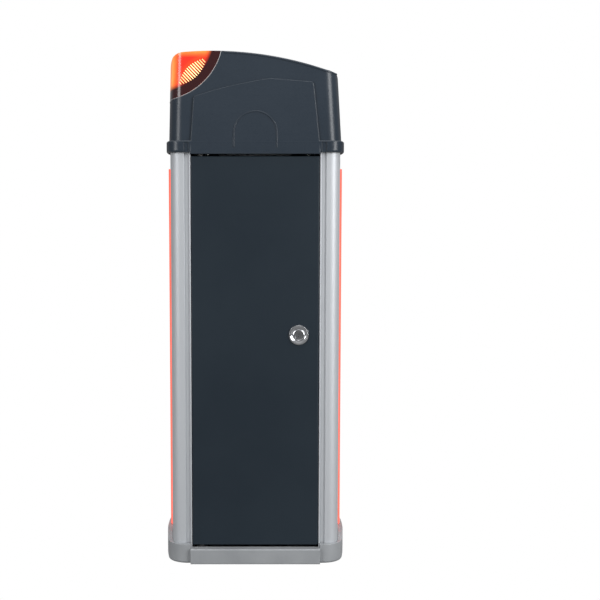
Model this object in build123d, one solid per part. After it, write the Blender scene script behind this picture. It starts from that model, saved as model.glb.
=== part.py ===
from build123d import *
from math import acos, cos, pi, radians, sin, tan
import os

os.makedirs("parts", exist_ok=True)

# The operator cabinet of a parking barrier gate.  Millimetres, +Z up, the door faces -Y.
# The origin is on the floor at the centre of the four anchor holes.

# ---- Cabinet body: overall width and depth are twice the halves, and the sides bow outwards ----
body_half_width = 170.0
body_half_depth = 125.0
body_bulge = 8.0
body_corner = 20.0
column_top = 853.0
fit_gap = 0.3
running_clearance = 0.05

# ---- Columns ----
column_wall = 2.5
column_face = 38.5
side_leg_inset = 20.0
front_leg_depth = 25.0
groove_start = 3.0
groove_width = 9.5
groove_depth = 4.0
port_radius = 4.1
port_boss = 5.6
column_inner_x = body_half_width - column_face
side_leg_x = body_half_width - side_leg_inset
front_port = (column_inner_x + 8.5, body_half_depth - 18.5)
side_port = (side_leg_x + 7.0, 60.0)

# ---- Screws and bolts ----
screw_radius = 4.0
screw_head_radius = 7.0
screw_head_height = 4.5
small_screw_radius = 2.5
small_screw_hole = small_screw_radius + 0.1
small_head_radius = 4.5
small_head_height = 3.0
cap_head_radius = 4.2

# ---- Base ----
base_plate_thick = 8.0
base_plate_inset = 4.0
anchor_x = body_half_width - 50.0
anchor_y = body_half_depth - 45.0
anchor_radius = 7.0
cable_entry_x = 70.0
cable_entry_y = 45.0
skirt_half_width = body_half_width + 6.0
skirt_half_depth = body_half_depth + 13.0
skirt_bulge = 13.0
skirt_corner = 42.0
skirt_low = 40.0
skirt_wing = 48.0
wing_half_length = 62.0
lip_half_width = column_inner_x + 2.5
lip_height = 32.0
lip_proud = 8.0
lug_thick = 4.0
lug_inner_y = body_half_depth - 21.0
skirt_screw_places = [(sx * 45.0, sy * (body_half_depth - 12.0)) for sx in (-1, 1) for sy in (-1, 1)]

# ---- Side lights ----
channel_half_width = 30.0
board_seat_x = body_half_width - 6.0
board_pocket = 12.0
lens_seat_x = body_half_width - 2.0
lens_half_width = 16.7
lens_apex_x = body_half_width + body_bulge + 6.0
lens_wall = 2.0
lens_bottom = skirt_wing + 2.0
lens_top = column_top - 37.0
led_pitch = 24.0

# ---- Mounting plate over the columns ----
plate_thick = 6.0
plate_inset = 5.0
plate_top = column_top + plate_thick
sump_opening = (-86.0, 87.0, -32.0, 42.0)
spring_opening = (-62.0, 84.0, 40.0, 94.0)
wire_opening = (-130.0, -100.0, -60.0, -30.0)
foot_bolts = [(-102.0, -8.0), (-102.0, 26.0), (113.0, -8.0), (113.0, 26.0)]
hood_screw_places = [(sx * (body_half_width - 8.0), sy * 41.0) for sx in (-1, 1) for sy in (-1, 1)]
foot_thick = 8.0

# ---- Door, rear panel and lock ----
sheet = 2.0
door_gap = 1.0
door_bottom = 36.0
door_top = column_top - 13.0
door_flange = 18.0
door_lip = 10.0
door_front = -body_half_depth
door_half_width = column_inner_x - door_gap
pivot_back = 5.5
pivot_inset = 19.0
pivot_radius = 3.0
pivot_x = -door_half_width + pivot_inset
pivot_y = door_front + pivot_back
strap_thick = 3.0
strap_front = door_front + 19.0
bracket_y_back = body_half_depth - 37.0
bracket_screw_y = door_front + 29.0
lock_x = column_inner_x - 42.5
lock_z = 476.0
rosette_radius = 21.0
barrel_radius = 12.0
plug_radius = 7.5
cam_front = door_front + 25.5
cam_thick = 3.0
stop_heights = (200.0, 690.0)
rear_screw_y = body_half_depth - 10.0
rear_screw_z = (100.0, 440.0, 780.0)
vent_bottom = 640.0
vent_pitch = 16.0
vent_half_width = 60.0

# ---- Equipment panel and what hangs on it ----
equipment_y = -20.0
equipment_bottom = 490.0
equipment_top = 792.0
equipment_screw_y = 50.0
equipment_screw_z = (equipment_bottom + 30.0, equipment_top - 22.0)
box_x = (-122.0, 34.0)
box_z = (equipment_bottom + 20.0, equipment_top - 12.0)
box_depth = 44.0
box_wall = 2.5
gland_radius = 8.0
gland_x = (-95.0, -60.0, -25.0)

# ---- Hood ----
hood_wall = 3.5
hood_half_width = body_half_width - 2.0
hood_half_depth = body_half_depth + 4.0
hood_bulge = 13.0
hood_corner = 24.0
hood_bottom = column_top - 6.0
band_top = hood_bottom + 24.0
band_proud = 4.5
form_bottom = band_top - 5.0
hood_top = hood_bottom + 203.0
roof_apex_x = -85.0
roof_radius = 710.0
roof_left_corner = 34.0
roof_right_corner = 7.0
lean_left = 1.5
lean_right = 3.5
lean_front = 2.0
panel_proud = 4.5
panel_drop = 3.0
panel_corner = 6.0
panel_half_low = column_inner_x + 0.5
panel_left_high = panel_half_low - 8.0
panel_right_high = panel_half_low - 15.0
panel_left_rise = 93.0
panel_middle_rise = 114.0
panel_knee_rise = 129.0
panel_right_rise = 122.0
ledge_bottom = plate_top + 1.0
ledge_thick = 4.0
ledge_side = 20.0
ledge_end = 12.0

# ---- Beacon in the hood's upper left corner ----
lamp_centre_x = -hood_half_width - 27.0
lamp_centre_z = hood_top + 32.0
lamp_radius = 130.0
lamp_gap = 0.4
leaf_low_x = lamp_centre_x + 37.0
leaf_low_z = lamp_centre_z - 96.0
leaf_high_x = lamp_centre_x + 94.0
leaf_high_z = lamp_centre_z - 50.0
leaf_half_width = 13.0
optic_rib_pitch = 4.3
lamp_board_half = hood_half_depth - 34.0

# ---- Drive: the shaft crosses the cabinet from front to rear ----
shaft_z = plate_top + 27.0
shaft_radius = 15.0
shaft_front_y = -48.0
shaft_rear_y = body_half_depth + 27.0
arch_half_width = 43.5
arch_rib = 2.4
arch_rib_high = 1.0
arch_line_low = band_top - 13.0
pressure_angle = radians(20.0)
backlash = 0.35
output_module = 2.5
output_teeth = 56
first_module = 2.0
wheel_teeth = 42
pinion_teeth = 14
cluster_angle = 25.0
pinion_angle = 160.0
axle_radius = 6.0
motor_shaft_radius = 5.0
gearbox_front = -20.0
gearbox_rear = 38.0
gearbox_wall = 9.0
cover_thick = 8.0
cover_front = gearbox_front - cover_thick
gear_clearance = 5.0
wheel_y = (gearbox_front + 4.0, gearbox_front + 16.0)
output_y = (gearbox_front + 22.0, gearbox_rear - 13.0)
bearing_outer = shaft_radius + 11.0
bearing_width = 12.0
key_half = 2.5
key_proud = 2.5
motor_radius = 28.0
motor_rear = -106.0
motor_bolt_circle = 33.0
lever_radius = 60.0
lever_front = 44.0
lever_thick = 12.0
lever_half = 14.0
lever_pin_radius = 5.0
stop_y = lever_front + 8.0
block_rear = body_half_depth - 5.0
block_front = block_rear - 22.0
block_half = bearing_outer + 12.0
block_bolts = [(-52.0, block_front + 7.0), (52.0, block_front + 7.0)]
arch_rear = block_rear + 6.0
arch_screws = [(-27.0, shaft_z - 24.0), (27.0, shaft_z - 24.0), (0.0, shaft_z + 32.0)]
flange_radius = 42.0
flange_bolt_circle = 32.0
flange_bolt_hole = 4.5
flange_front = shaft_rear_y - 16.0
flange_rear = shaft_rear_y - 2.0
key_spans = [(output_y[0] + 1, output_y[1] - 1), (lever_front - 5, lever_front + lever_thick),
             (flange_front, flange_rear - 1)]
output_pitch = output_module * output_teeth / 2
small_pitch = output_module * pinion_teeth / 2
wheel_pitch = first_module * wheel_teeth / 2
pinion_pitch = first_module * pinion_teeth / 2
cluster_x = (output_pitch + small_pitch) * cos(radians(cluster_angle))
cluster_z = shaft_z + (output_pitch + small_pitch) * sin(radians(cluster_angle))
pinion_x = cluster_x + (wheel_pitch + pinion_pitch) * cos(radians(pinion_angle))
pinion_z = cluster_z + (wheel_pitch + pinion_pitch) * sin(radians(pinion_angle))

# ---- Balance spring, from the lever's pin down to the cross bar ----
hook_y = lever_front + lever_thick + 12.0
spring_drop = 560.0
spring_coil_radius = 16.0
spring_wire = 2.5
spring_stem = 56.0
spring_pitch = 10.0
hook_radius = 8.0
crossbar_z = shaft_z - spring_drop - 76.0
crossbar_rear = body_half_depth - front_leg_depth - fit_gap
crossbar_thick = 4.0
crossbar_bolt_x = column_inner_x + 9.5
crossbar_bolt_z = crossbar_z + 20.0


# ---- Shapes used by several pieces ----
def area(x0, x1, y0, y1):
    """A flat rectangle between two x and two y values."""
    return Pos((x0 + x1) / 2, (y0 + y1) / 2) * Rectangle(x1 - x0, y1 - y0)


def block(x0, x1, y0, y1, z0, z1):
    """A box between pairs of x, y and z values."""
    return Pos((x0 + x1) / 2, (y0 + y1) / 2, (z0 + z1) / 2) * Box(x1 - x0, y1 - y0, z1 - z0)


def upright(plan, z0, z1):
    """A plan raised from z0 to z1."""
    return extrude(Pos(0, 0, z0) * plan, z1 - z0)


def along_y(front_view, y0, y1):
    """A front view, drawn in x and z, carried from y0 to y1."""
    return extrude(Plane(origin=(0, y1, 0), x_dir=(1, 0, 0), z_dir=(0, -1, 0)) * front_view, y1 - y0)


def along_x(side_view, x0, x1):
    """A side view, drawn in y and z, carried from x0 to x1."""
    return extrude(Plane(origin=(x0, 0, 0), x_dir=(0, 1, 0), z_dir=(1, 0, 0)) * side_view, x1 - x0)


def rod_x(radius, y, z, x0, x1):
    return along_x(Pos(y, z) * Circle(radius), x0, x1)


def rod_y(radius, x, z, y0, y1):
    return along_y(Pos(x, z) * Circle(radius), y0, y1)


def rod_z(radius, x, y, z0, z1):
    return upright(Pos(x, y) * Circle(radius), z0, z1)


def bowed_plan(half_width, half_depth, bulge, corner):
    """A rounded rectangle whose left and right sides bow outwards."""
    front = Line((-half_width, -half_depth), (half_width, -half_depth))
    right = ThreePointArc((half_width, -half_depth), (half_width + bulge, 0), (half_width, half_depth))
    back = Line((half_width, half_depth), (-half_width, half_depth))
    left = ThreePointArc((-half_width, half_depth), (-half_width - bulge, 0), (-half_width, -half_depth))
    outline = make_face(Curve() + [front, right, back, left])
    return fillet(outline.vertices(), corner)


def body_plan(inset=0.0):
    """The outline that the four columns and the two light channels share."""
    return bowed_plan(body_half_width - inset, body_half_depth - inset, body_bulge, body_corner - inset / 2)


def flip_x(shape):
    return mirror(shape, about=Plane.YZ)


def flip_y(shape):
    return mirror(shape, about=Plane.XZ)


def quadrants(x, y):
    """The four mirrored places of one point."""
    return [(sx * x, sy * y) for sx in (-1, 1) for sy in (-1, 1)]


def save(name, *shapes):
    """Writes one node as a STEP file, with every solid kept apart."""
    solids = [solid for shape in shapes for solid in shape.solids()]
    export_step(solids[0] if len(solids) == 1 else Compound(solids), f"parts/{name}.step")


# ---- Base ----
def base_plate():
    plate = upright(body_plan(base_plate_inset), 0, base_plate_thick)
    plate -= upright(fillet(area(-cable_entry_x, cable_entry_x, -cable_entry_y, cable_entry_y).vertices(), 15),
                     -1, base_plate_thick + 1)
    for x, y in quadrants(anchor_x, anchor_y):
        plate -= rod_z(anchor_radius, x, y, -1, base_plate_thick + 1)
    for x, y in column_ports():
        plate -= rod_z(port_radius, x, y, -1, base_plate_thick + 1)
        plate -= rod_z(screw_head_radius + 0.2, x, y, -1, screw_head_height)
    for x, y in skirt_screw_places:
        plate -= rod_z(small_screw_hole, x, y, -1, base_plate_thick + 1)
    return plate - rod_z(small_screw_hole, pivot_x, bracket_screw_y, -1, base_plate_thick + 1)


def column_ports():
    return quadrants(*front_port) + quadrants(*side_port)


def base_skirt():
    """Cast ring with a raised lip front and rear, and wings that climb the two sides."""
    outline = bowed_plan(skirt_half_width, skirt_half_depth, skirt_bulge, skirt_corner)
    ring = upright(outline, 0, skirt_wing)
    ring = fillet(ring.faces().sort_by(Axis.Z)[0].edges(), 5)
    sweep_end = skirt_half_depth - 30
    side = Curve() + [
        Line((-300, skirt_low), (-sweep_end, skirt_low)),
        Spline((-sweep_end, skirt_low), (-wing_half_length, skirt_wing), tangents=((1, 0), (1, 0))),
        Line((-wing_half_length, skirt_wing), (wing_half_length, skirt_wing)),
        Spline((wing_half_length, skirt_wing), (sweep_end, skirt_low), tangents=((1, 0), (1, 0))),
        Line((sweep_end, skirt_low), (300, skirt_low)),
        Line((300, skirt_low), (300, -10)),
        Line((300, -10), (-300, -10)),
        Line((-300, -10), (-300, skirt_low)),
    ]
    ring &= along_x(make_face(side), -300, 300)
    lip_plan = Polyline((-lip_half_width - 6, 0), (-lip_half_width, -skirt_half_depth - lip_proud),
                        (lip_half_width, -skirt_half_depth - lip_proud), (lip_half_width + 6, 0), close=True)
    lip = upright(make_face(lip_plan) - area(-300, 300, -skirt_half_depth + 1, 1), 0, lip_height)
    lip = fillet(lip.edges().filter_by(Axis.X).sort_by(Axis.Y)[:2], 2.5)
    notch = block(-lip_half_width, lip_half_width, -skirt_half_depth - 1, 0, lip_height, skirt_wing)
    ring -= [notch, flip_y(notch)]
    ring += [lip, flip_y(lip)]
    ring -= upright(body_plan(-fit_gap), -1, skirt_wing + 1)
    for x, y in skirt_screw_places:
        low, high = sorted((y / abs(y) * (body_half_depth + fit_gap + 1), y / abs(y) * lug_inner_y))
        lug = block(x - 12, x + 12, low, high, base_plate_thick, base_plate_thick + lug_thick)
        ring += lug - rod_z(small_screw_hole, x, y, 0, 30)
    return ring


def small_screw():
    """Pan head on top, shank downwards, its seat at z = 0."""
    head = fillet(rod_z(small_head_radius, 0, 0, 0, small_head_height).edges().sort_by(Axis.Z)[-1:], 1.2)
    slot = block(-3.2, 3.2, -0.5, 0.5, small_head_height - 1.2, small_head_height + 1)
    return head - slot - Rot(0, 0, 90) * slot + rod_z(small_screw_radius, 0, 0, -7, 0)


# ---- Columns and side lights ----
def column_profile():
    """The front right column: a main face, a groove and a bead beside the door, hollow inside."""
    reach = body_half_width + body_bulge + 10
    front = -body_half_depth
    legs = area(column_inner_x, reach, front, front + front_leg_depth)
    legs += area(side_leg_x, reach, front, -channel_half_width)
    groove_x = column_inner_x + groove_start
    profile = (body_plan() & legs) - area(groove_x, groove_x + groove_width, front - 1, front + groove_depth)
    rim = [v for v in profile.vertices() if v.Y < front + 0.1 and v.X < groove_x + groove_width + 1]
    profile = fillet(rim, 1.2)
    rooms = area(column_inner_x + column_wall, reach, front, front + front_leg_depth - column_wall)
    rooms += area(side_leg_x + column_wall, reach, front, -channel_half_width - column_wall)
    hollow = (body_plan(column_wall) & rooms) - area(
        groove_x - column_wall, groove_x + groove_width + column_wall, front, front + groove_depth + column_wall)
    for x, y in (front_port, side_port):
        hollow -= Pos(x, -y) * Circle(port_boss)
    profile -= hollow
    for x, y in (front_port, side_port):
        profile -= Pos(x, -y) * Circle(port_radius)
    return profile


def column(front, left):
    """One of the four columns, with the holes for the screws that enter it from inside."""
    post = upright(column_profile(), base_plate_thick, column_top)
    if front:
        for z in equipment_screw_z:
            post -= rod_x(small_screw_hole, -equipment_screw_y, z, side_leg_x - 1, side_leg_x + 8)
    else:
        for z in rear_screw_z:
            post -= rod_x(small_screw_hole, -rear_screw_y, z, column_inner_x - 1, column_inner_x + 8)
        post -= rod_y(port_radius, crossbar_bolt_x, crossbar_bolt_z, 15 - body_half_depth, 26 - body_half_depth)
        post = flip_y(post)
    return flip_x(post) if left else post


def channel_profile():
    """The right side's light channel: a hollow extrusion with a stepped pocket facing outwards."""
    reach = body_half_width + body_bulge + 10
    half = channel_half_width - fit_gap
    profile = body_plan() & area(side_leg_x, reach, -half, half)
    profile -= area(lens_seat_x, reach, -lens_half_width - fit_gap, lens_half_width + fit_gap)
    profile -= area(board_seat_x, reach, -board_pocket, board_pocket)
    profile -= area(side_leg_x + column_wall, board_seat_x - column_wall, -board_pocket, board_pocket)
    pocket = body_plan(column_wall) & area(side_leg_x + column_wall, reach,
                                           lens_half_width + column_wall + fit_gap, half - column_wall)
    return profile - pocket - flip_y(pocket)


def light_channel():
    return upright(channel_profile(), base_plate_thick, column_top)


def light_lens():
    """Domed red strip, open towards the LEDs."""
    def dome(inset):
        half = lens_half_width - inset
        shoulder = body_half_width + body_bulge - 1 - inset / 2
        return make_face(Curve() + [
            Line((lens_seat_x, half), (lens_seat_x, -half)),
            Line((lens_seat_x, -half), (shoulder, -half)),
            ThreePointArc((shoulder, -half), (lens_apex_x - inset, 0), (shoulder, half)),
            Line((shoulder, half), (lens_seat_x, half)),
        ])
    return upright(dome(0) - dome(lens_wall), lens_bottom, lens_top)


def light_strip():
    """Narrow circuit board with a row of light-emitting chips."""
    strip = block(board_seat_x, board_seat_x + 1.6, -6, 6, lens_bottom + 4, lens_top - 4)
    count = int((lens_top - lens_bottom - 20) // led_pitch)
    for k in range(count):
        z = lens_bottom + 14 + k * led_pitch
        strip += block(board_seat_x + 1.6, board_seat_x + 3.2, -2.5, 2.5, z, z + 5)
    return strip


def light_end_cap():
    """Plug over the lens, which closes the channel's pocket under the hood."""
    cap = upright(body_plan() & area(lens_seat_x, 200, -lens_half_width, lens_half_width), lens_top + fit_gap,
                  column_top)
    return cap


def column_screws():
    """Countersunk screws through the base plate and the mounting plate into the column ports."""
    screws = []
    for x, y in column_ports():
        low = rod_z(screw_head_radius, x, y, 0.2, screw_head_height) + rod_z(screw_radius, x, y, 1, 30)
        high = rod_z(screw_head_radius, x, y, plate_top - screw_head_height, plate_top - 0.2)
        high += rod_z(screw_radius, x, y, column_top - 20, plate_top - 1)
        high -= rod_z(2.6, x, y, plate_top - 3, plate_top)
        screws += [low, high]
    return screws


# ---- Mounting plate ----
def mounting_plate():
    """Steel plate on the four columns that carries the drive and the hood."""
    plan = body_plan(plate_inset)
    for opening in (sump_opening, spring_opening, wire_opening):
        plan -= area(*opening)
    plate = upright(plan, column_top, plate_top)
    for x, y in column_ports() + foot_bolts + block_bolts + hood_screw_places:
        plate -= rod_z(port_radius, x, y, column_top - 1, plate_top + 1)
    for x, y in column_ports():
        plate -= rod_z(screw_head_radius + 0.2, x, y, plate_top - screw_head_height, plate_top + 1)
    return plate - rod_z(pivot_radius, pivot_x, pivot_y, column_top - 1, plate_top + 1)


# ---- Rear panel and rear cross bar ----
def tray(half_width, z0, z1, flange, lip):
    """Folded sheet tray, its face on the -Y side."""
    face_y = door_front
    shell = block(-half_width, half_width, face_y, face_y + flange, z0, z1)
    shell = fillet(shell.edges().filter_by(Axis.Z).sort_by(Axis.Y)[:2], sheet)
    shell = fillet(shell.faces().sort_by(Axis.Y)[0].edges().filter_by(Axis.X), sheet - 0.5)
    shell -= block(-half_width + sheet, half_width - sheet, face_y + sheet, face_y + flange - sheet,
                   z0 + sheet, z1 - sheet)
    shell -= block(-half_width + lip, half_width - lip, face_y + sheet, face_y + flange + 1, z0 + lip, z1 - lip)
    return shell


def rear_panel():
    panel = tray(column_inner_x - 0.1, door_bottom, hood_bottom - 2, door_flange, door_lip)
    for side in (-1, 1):
        for z in rear_screw_z:
            edge = side * column_inner_x
            low, high = sorted((edge, edge - side * 4))
            panel -= rod_x(small_screw_hole, -rear_screw_y, z, low, high)
    for k in range(5):
        low = vent_bottom + vent_pitch * k
        slot = fillet(area(-vent_half_width, vent_half_width, low, low + 6).vertices(), 2.9)
        panel -= along_y(slot, door_front - 1, door_front + 4)
    return flip_y(panel)


def spring_crossbar():
    half = side_leg_x - 0.5
    bar = block(-half, half, hook_y - 8, crossbar_rear, crossbar_z, crossbar_z + crossbar_thick)
    bar += block(-half, half, crossbar_rear - crossbar_thick, crossbar_rear, crossbar_z, crossbar_z + 40)
    bar -= rod_z(5.2, lever_radius, hook_y, crossbar_z - 1, crossbar_z + 6)
    for side in (-1, 1):
        bar -= rod_y(port_radius, side * crossbar_bolt_x, crossbar_bolt_z, crossbar_rear - 10, crossbar_rear + 1)
    return bar


def hex_bolt(length, across=13.0, head=5.3):
    """Hexagon head above z = 0 and a shank below it."""
    bolt = extrude(RegularPolygon(across / 2, 6, major_radius=False), head)
    return bolt + rod_z(screw_radius, 0, 0, -length, 0)


def frame_bolts():
    """Hexagon bolts of the gearbox feet, the bearing block, the cross bar and the hood."""
    bolts = [Pos(x, y, plate_top + foot_thick) * hex_bolt(22) for x, y in foot_bolts]
    bolts += [Pos(x, y, plate_top + foot_thick) * hex_bolt(22) for x, y in block_bolts]
    bolts += [Pos(side * crossbar_bolt_x, crossbar_rear - crossbar_thick, crossbar_bolt_z) * Rot(90, 0, 0) * hex_bolt(13)
              for side in (-1, 1)]
    bolts += [Pos(x, y, column_top) * Rot(180, 0, 0) * hex_bolt(13) for x, y in hood_screw_places]
    return bolts


# ---- Door ----
def door_panel():
    panel = tray(door_half_width, door_bottom, door_top, door_flange, door_lip)
    panel -= rod_y(barrel_radius + 0.2, lock_x, lock_z, door_front - 1, door_front + 5)
    panel -= rod_z(pivot_radius + running_clearance, pivot_x, pivot_y, door_bottom - 1, door_bottom + 4)
    panel -= rod_z(pivot_radius + running_clearance, pivot_x, pivot_y, door_top - 4, door_top + 1)
    return panel


def turned(outline, x, z, y):
    """A lathe-turned piece: outline points are (radius, height towards -Y) from the plane at y."""
    profile = Plane.XZ * make_face(Polyline(*outline, close=True))
    return Pos(x, y, z) * Rot(90, 0, 0) * revolve(profile, Axis.Z)


def lock_rosette():
    """Dished chrome ring with a raised inner collar."""
    r = rosette_radius
    b = barrel_radius - 2
    ring = [(b, 0), (r, 0), (r, 1.2), (r - 1.2, 2.8), (r - 3.6, 3.4), (r - 6.5, 2.4), (b + 2, 1.4), (b + 1.8, 3.2),
            (b + 0.6, 3.8), (b, 3.2)]
    return turned(ring, lock_x, lock_z, door_front)


def lock_barrel():
    body = rod_y(barrel_radius, lock_x, lock_z, door_front, door_front + 24)
    body += rod_y(barrel_radius - 2.2, lock_x, lock_z, door_front - 3, door_front)
    return body - rod_y(plug_radius + running_clearance, lock_x, lock_z, door_front - 4, door_front + 25)


def lock_nut():
    nut = extrude(RegularPolygon(16, 6, major_radius=False), 5)
    nut = Pos(lock_x, door_front + sheet + 5, lock_z) * Rot(90, 0, 0) * nut
    return nut - rod_y(barrel_radius, lock_x, lock_z, door_front, door_front + 12)


def lock_plug():
    plug = rod_y(plug_radius, lock_x, lock_z, door_front - 2.2, door_front + 24.3)
    plug += rod_y(4, lock_x, lock_z, door_front + 24, cam_front + cam_thick)
    plug += rod_y(6.5, lock_x, lock_z, cam_front + cam_thick, cam_front + cam_thick + 2)
    keyhole = along_y(Pos(lock_x, lock_z) * (Rectangle(1.8, 8.5) + Pos(0, 1) * Rectangle(3.2, 2.5)),
                      door_front - 4, door_front + 14)
    return plug - keyhole


def lock_cam():
    """Tongue that points up when unlocked, and turns behind the right column's edge."""
    outline = Pos(lock_x, lock_z) * (Circle(10) + Pos(0, 18) * Rectangle(14, 36) + Pos(0, 36) * Rectangle(12, 22))
    cam = along_y(outline, cam_front, cam_front + cam_thick)
    return cam - rod_y(4, lock_x, lock_z, cam_front - 1, cam_front + 5)


def door_brackets():
    """The lower pivot's strap, and two tabs on the right column that the closed door rests against."""
    rear = door_front + door_flange
    stops = [block(column_inner_x - 10, column_inner_x, rear + fit_gap, rear + 3.3, z, z + 30)
             for z in stop_heights]
    return [lower_pivot_bracket()] + stops


def lower_pivot_bracket():
    """Bent strap on the base plate, with its arm under the door's lower corner."""
    x0, x1 = pivot_x - 10, pivot_x + 10
    strap = block(x0, x1, strap_front, -bracket_y_back, base_plate_thick, base_plate_thick + strap_thick)
    strap += block(x0, x1, strap_front, strap_front + strap_thick, base_plate_thick, door_bottom - 2)
    strap += block(x0, x1, pivot_y - 5, strap_front + strap_thick, door_bottom - 2 - strap_thick, door_bottom - 2)
    strap -= rod_z(pivot_radius, pivot_x, pivot_y, 0, 60)
    return strap - rod_z(small_screw_hole, pivot_x, bracket_screw_y, 0, 20)


def pivot_pins():
    low = rod_z(pivot_radius, pivot_x, pivot_y, door_bottom - 5, door_bottom + 8)
    high = rod_z(pivot_radius, pivot_x, pivot_y, door_top - 7, plate_top)
    high += rod_z(6, pivot_x, pivot_y, door_top + 4, column_top)
    return [low, high]


def pivot_washers():
    ring = Circle(6) - Circle(pivot_radius + running_clearance)
    return [upright(Pos(pivot_x, pivot_y) * ring, door_bottom - 2, door_bottom - fit_gap),
            upright(Pos(pivot_x, pivot_y) * ring, door_top + fit_gap, door_top + 4)]


def panel_screws():
    """Small pan head screws of the skirt, the bracket, the rear panel, the equipment panel and the arch plate."""
    screw = small_screw()
    places = [Pos(x, y, base_plate_thick + lug_thick) * screw for x, y in skirt_screw_places]
    places.append(Pos(pivot_x, bracket_screw_y, base_plate_thick + strap_thick) * screw)
    for side in (-1, 1):
        for z in rear_screw_z:
            places.append(Pos(side * (column_inner_x - 0.1 - sheet), rear_screw_y, z) * Rot(0, -90 * side, 0) * screw)
        for z in equipment_screw_z:
            places.append(Pos(side * (side_leg_x - 2.5), -equipment_screw_y, z) * Rot(0, -90 * side, 0) * screw)
    for x, z in arch_screws:
        places.append(Pos(x, arch_rear, z) * Rot(-90, 0, 0) * screw)
    return places


# ---- Equipment inside the cabinet ----
def equipment_panel():
    half = side_leg_x - 0.5
    panel = block(-half, half, equipment_y, equipment_y + sheet, equipment_bottom, equipment_top)
    for side in (-1, 1):
        low, high = sorted((side * half, side * (half - sheet)))
        flange = block(low, high, -equipment_screw_y - 14, equipment_y + sheet, equipment_bottom, equipment_top)
        for z in equipment_screw_z:
            flange -= rod_x(small_screw_hole, -equipment_screw_y, z, low - 1, high + 1)
        panel += flange
    return panel


def control_box():
    back = equipment_y
    front = back - box_depth
    box = block(*box_x, front, back, *box_z)
    box = fillet(box.edges().filter_by(Axis.Y), 6)
    box -= block(box_x[0] + box_wall, box_x[1] - box_wall, front - 1, back - box_wall,
                 box_z[0] + box_wall, box_z[1] - box_wall)
    for x in gland_x:
        box -= rod_z(gland_radius + 0.1, x, back - 22, box_z[0] - 1, box_z[0] + 4)
    for x in (box_x[0] + 20, box_x[1] - 20):
        for z in (box_z[0] + 20, box_z[1] - 20):
            box += rod_y(4, x, z, back - 12, back - 1)
    return box


def control_cover():
    front = equipment_y - box_depth
    cover = block(*box_x, front - 24, front, *box_z)
    cover = fillet(cover.edges().filter_by(Axis.Y), 6)
    cover = fillet(cover.faces().sort_by(Axis.Y)[0].edges(), 3)
    return cover - block(box_x[0] + box_wall, box_x[1] - box_wall, front - 24 + box_wall, front + 1,
                         box_z[0] + box_wall, box_z[1] - box_wall)


def control_board():
    """Circuit board with its relays, capacitors, heat sink and connector rows."""
    back = equipment_y - 12
    face = back - 1.6
    x0, x1 = box_x[0] + 8, box_x[1] - 8
    z0, z1 = box_z[0] + 8, box_z[1] - 8
    board = block(x0, x1, face, back, z0, z1)
    for k in range(3):
        board += block(x0 + 8 + 22 * k, x0 + 26 + 22 * k, face - 16, face, z1 - 40, z1 - 12)
    for k in range(9):
        board += block(x0 + 8 + 14 * k, x0 + 20 + 14 * k, face - 11, face, z0 + 4, z0 + 14)
    for k in range(2):
        board += rod_y(11, x0 + 88 + 28 * k, z1 - 26, face - 26, face)
    board += block(x0 + 20, x0 + 52, face - 3, face, z0 + 90, z0 + 122)
    for k in range(6):
        board += block(x0 + 76 + 8 * k, x0 + 79 + 8 * k, face - 22, face, z0 + 60, z0 + 120)
    return board + block(x0 + 76, x0 + 119, face - 4, face, z0 + 60, z0 + 120)


def cable_glands():
    glands = []
    for x in gland_x:
        y = equipment_y - 22
        gland = rod_z(gland_radius, x, y, box_z[0] - 5, box_z[0] + 8)
        gland += Pos(x, y, box_z[0] - 6) * extrude(RegularPolygon(gland_radius + 4, 6, major_radius=False), 6)
        gland += fillet(rod_z(gland_radius + 2, x, y, box_z[0] - 18, box_z[0] - 6).edges().sort_by(Axis.Z)[:1], 3)
        gland += Pos(x, y, box_z[0] + box_wall) * extrude(RegularPolygon(gland_radius + 3, 6, major_radius=False), 5)
        glands.append(gland - rod_z(4.5, x, y, box_z[0] - 20, box_z[0] + 10))
    return glands


def transformer():
    """Laminated core with its bobbin and two windings, on a foot bracket."""
    y0, y1 = equipment_y - 52, equipment_y
    core = block(52, 132, y0 + 10, y1, 650, 716)
    core += block(60, 124, y0, y0 + 10, 664, 702)
    core += block(64, 120, y0 + 4, y1, 640, 726)
    return core + block(48, 136, y1 - 2.5, y1, 644, 722)


def terminal_rail():
    """Mounting rail with a breaker and a row of terminals."""
    y1 = equipment_y
    rail = block(48, 140, y1 - 7.5, y1, 566, 601)
    rail += block(54, 72, y1 - 60, y1 - 6, 544, 624)
    for k in range(8):
        rail += block(76 + 7 * k, 82.6 + 7 * k, y1 - 42, y1 - 6, 558, 609)
    return rail


# ---- Gears ----
def gear_face(module, teeth, first_angle):
    """An involute gear outline whose first tooth points at first_angle in degrees."""
    pitch = module * teeth / 2
    base = pitch * cos(pressure_angle)
    tip = pitch + module
    root = pitch - 1.25 * module
    half_base = (pi * module / 2 - backlash) / (2 * pitch) + tan(pressure_angle) - pressure_angle
    steps = 4
    flank = []
    start = max(base, root)
    for k in range(steps + 1):
        r = start + (tip - start) * k / steps
        roll = acos(min(1, base / r))
        flank.append((r, half_base - (tan(roll) - roll)))
    points = []
    for tooth in range(teeth):
        middle = radians(first_angle) + 2 * pi * tooth / teeth
        sides = [(root, middle - half_base)] + [(r, middle - a) for r, a in flank]
        sides += [(r, middle + a) for r, a in reversed(flank)] + [(root, middle + half_base)]
        points += [(r * cos(a), r * sin(a)) for r, a in sides]
    unique = [p for p, q in zip(points, points[1:] + points[:1])
              if abs(p[0] - q[0]) + abs(p[1] - q[1]) > 0.001]
    return make_face(Polyline(*unique, close=True))


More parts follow.
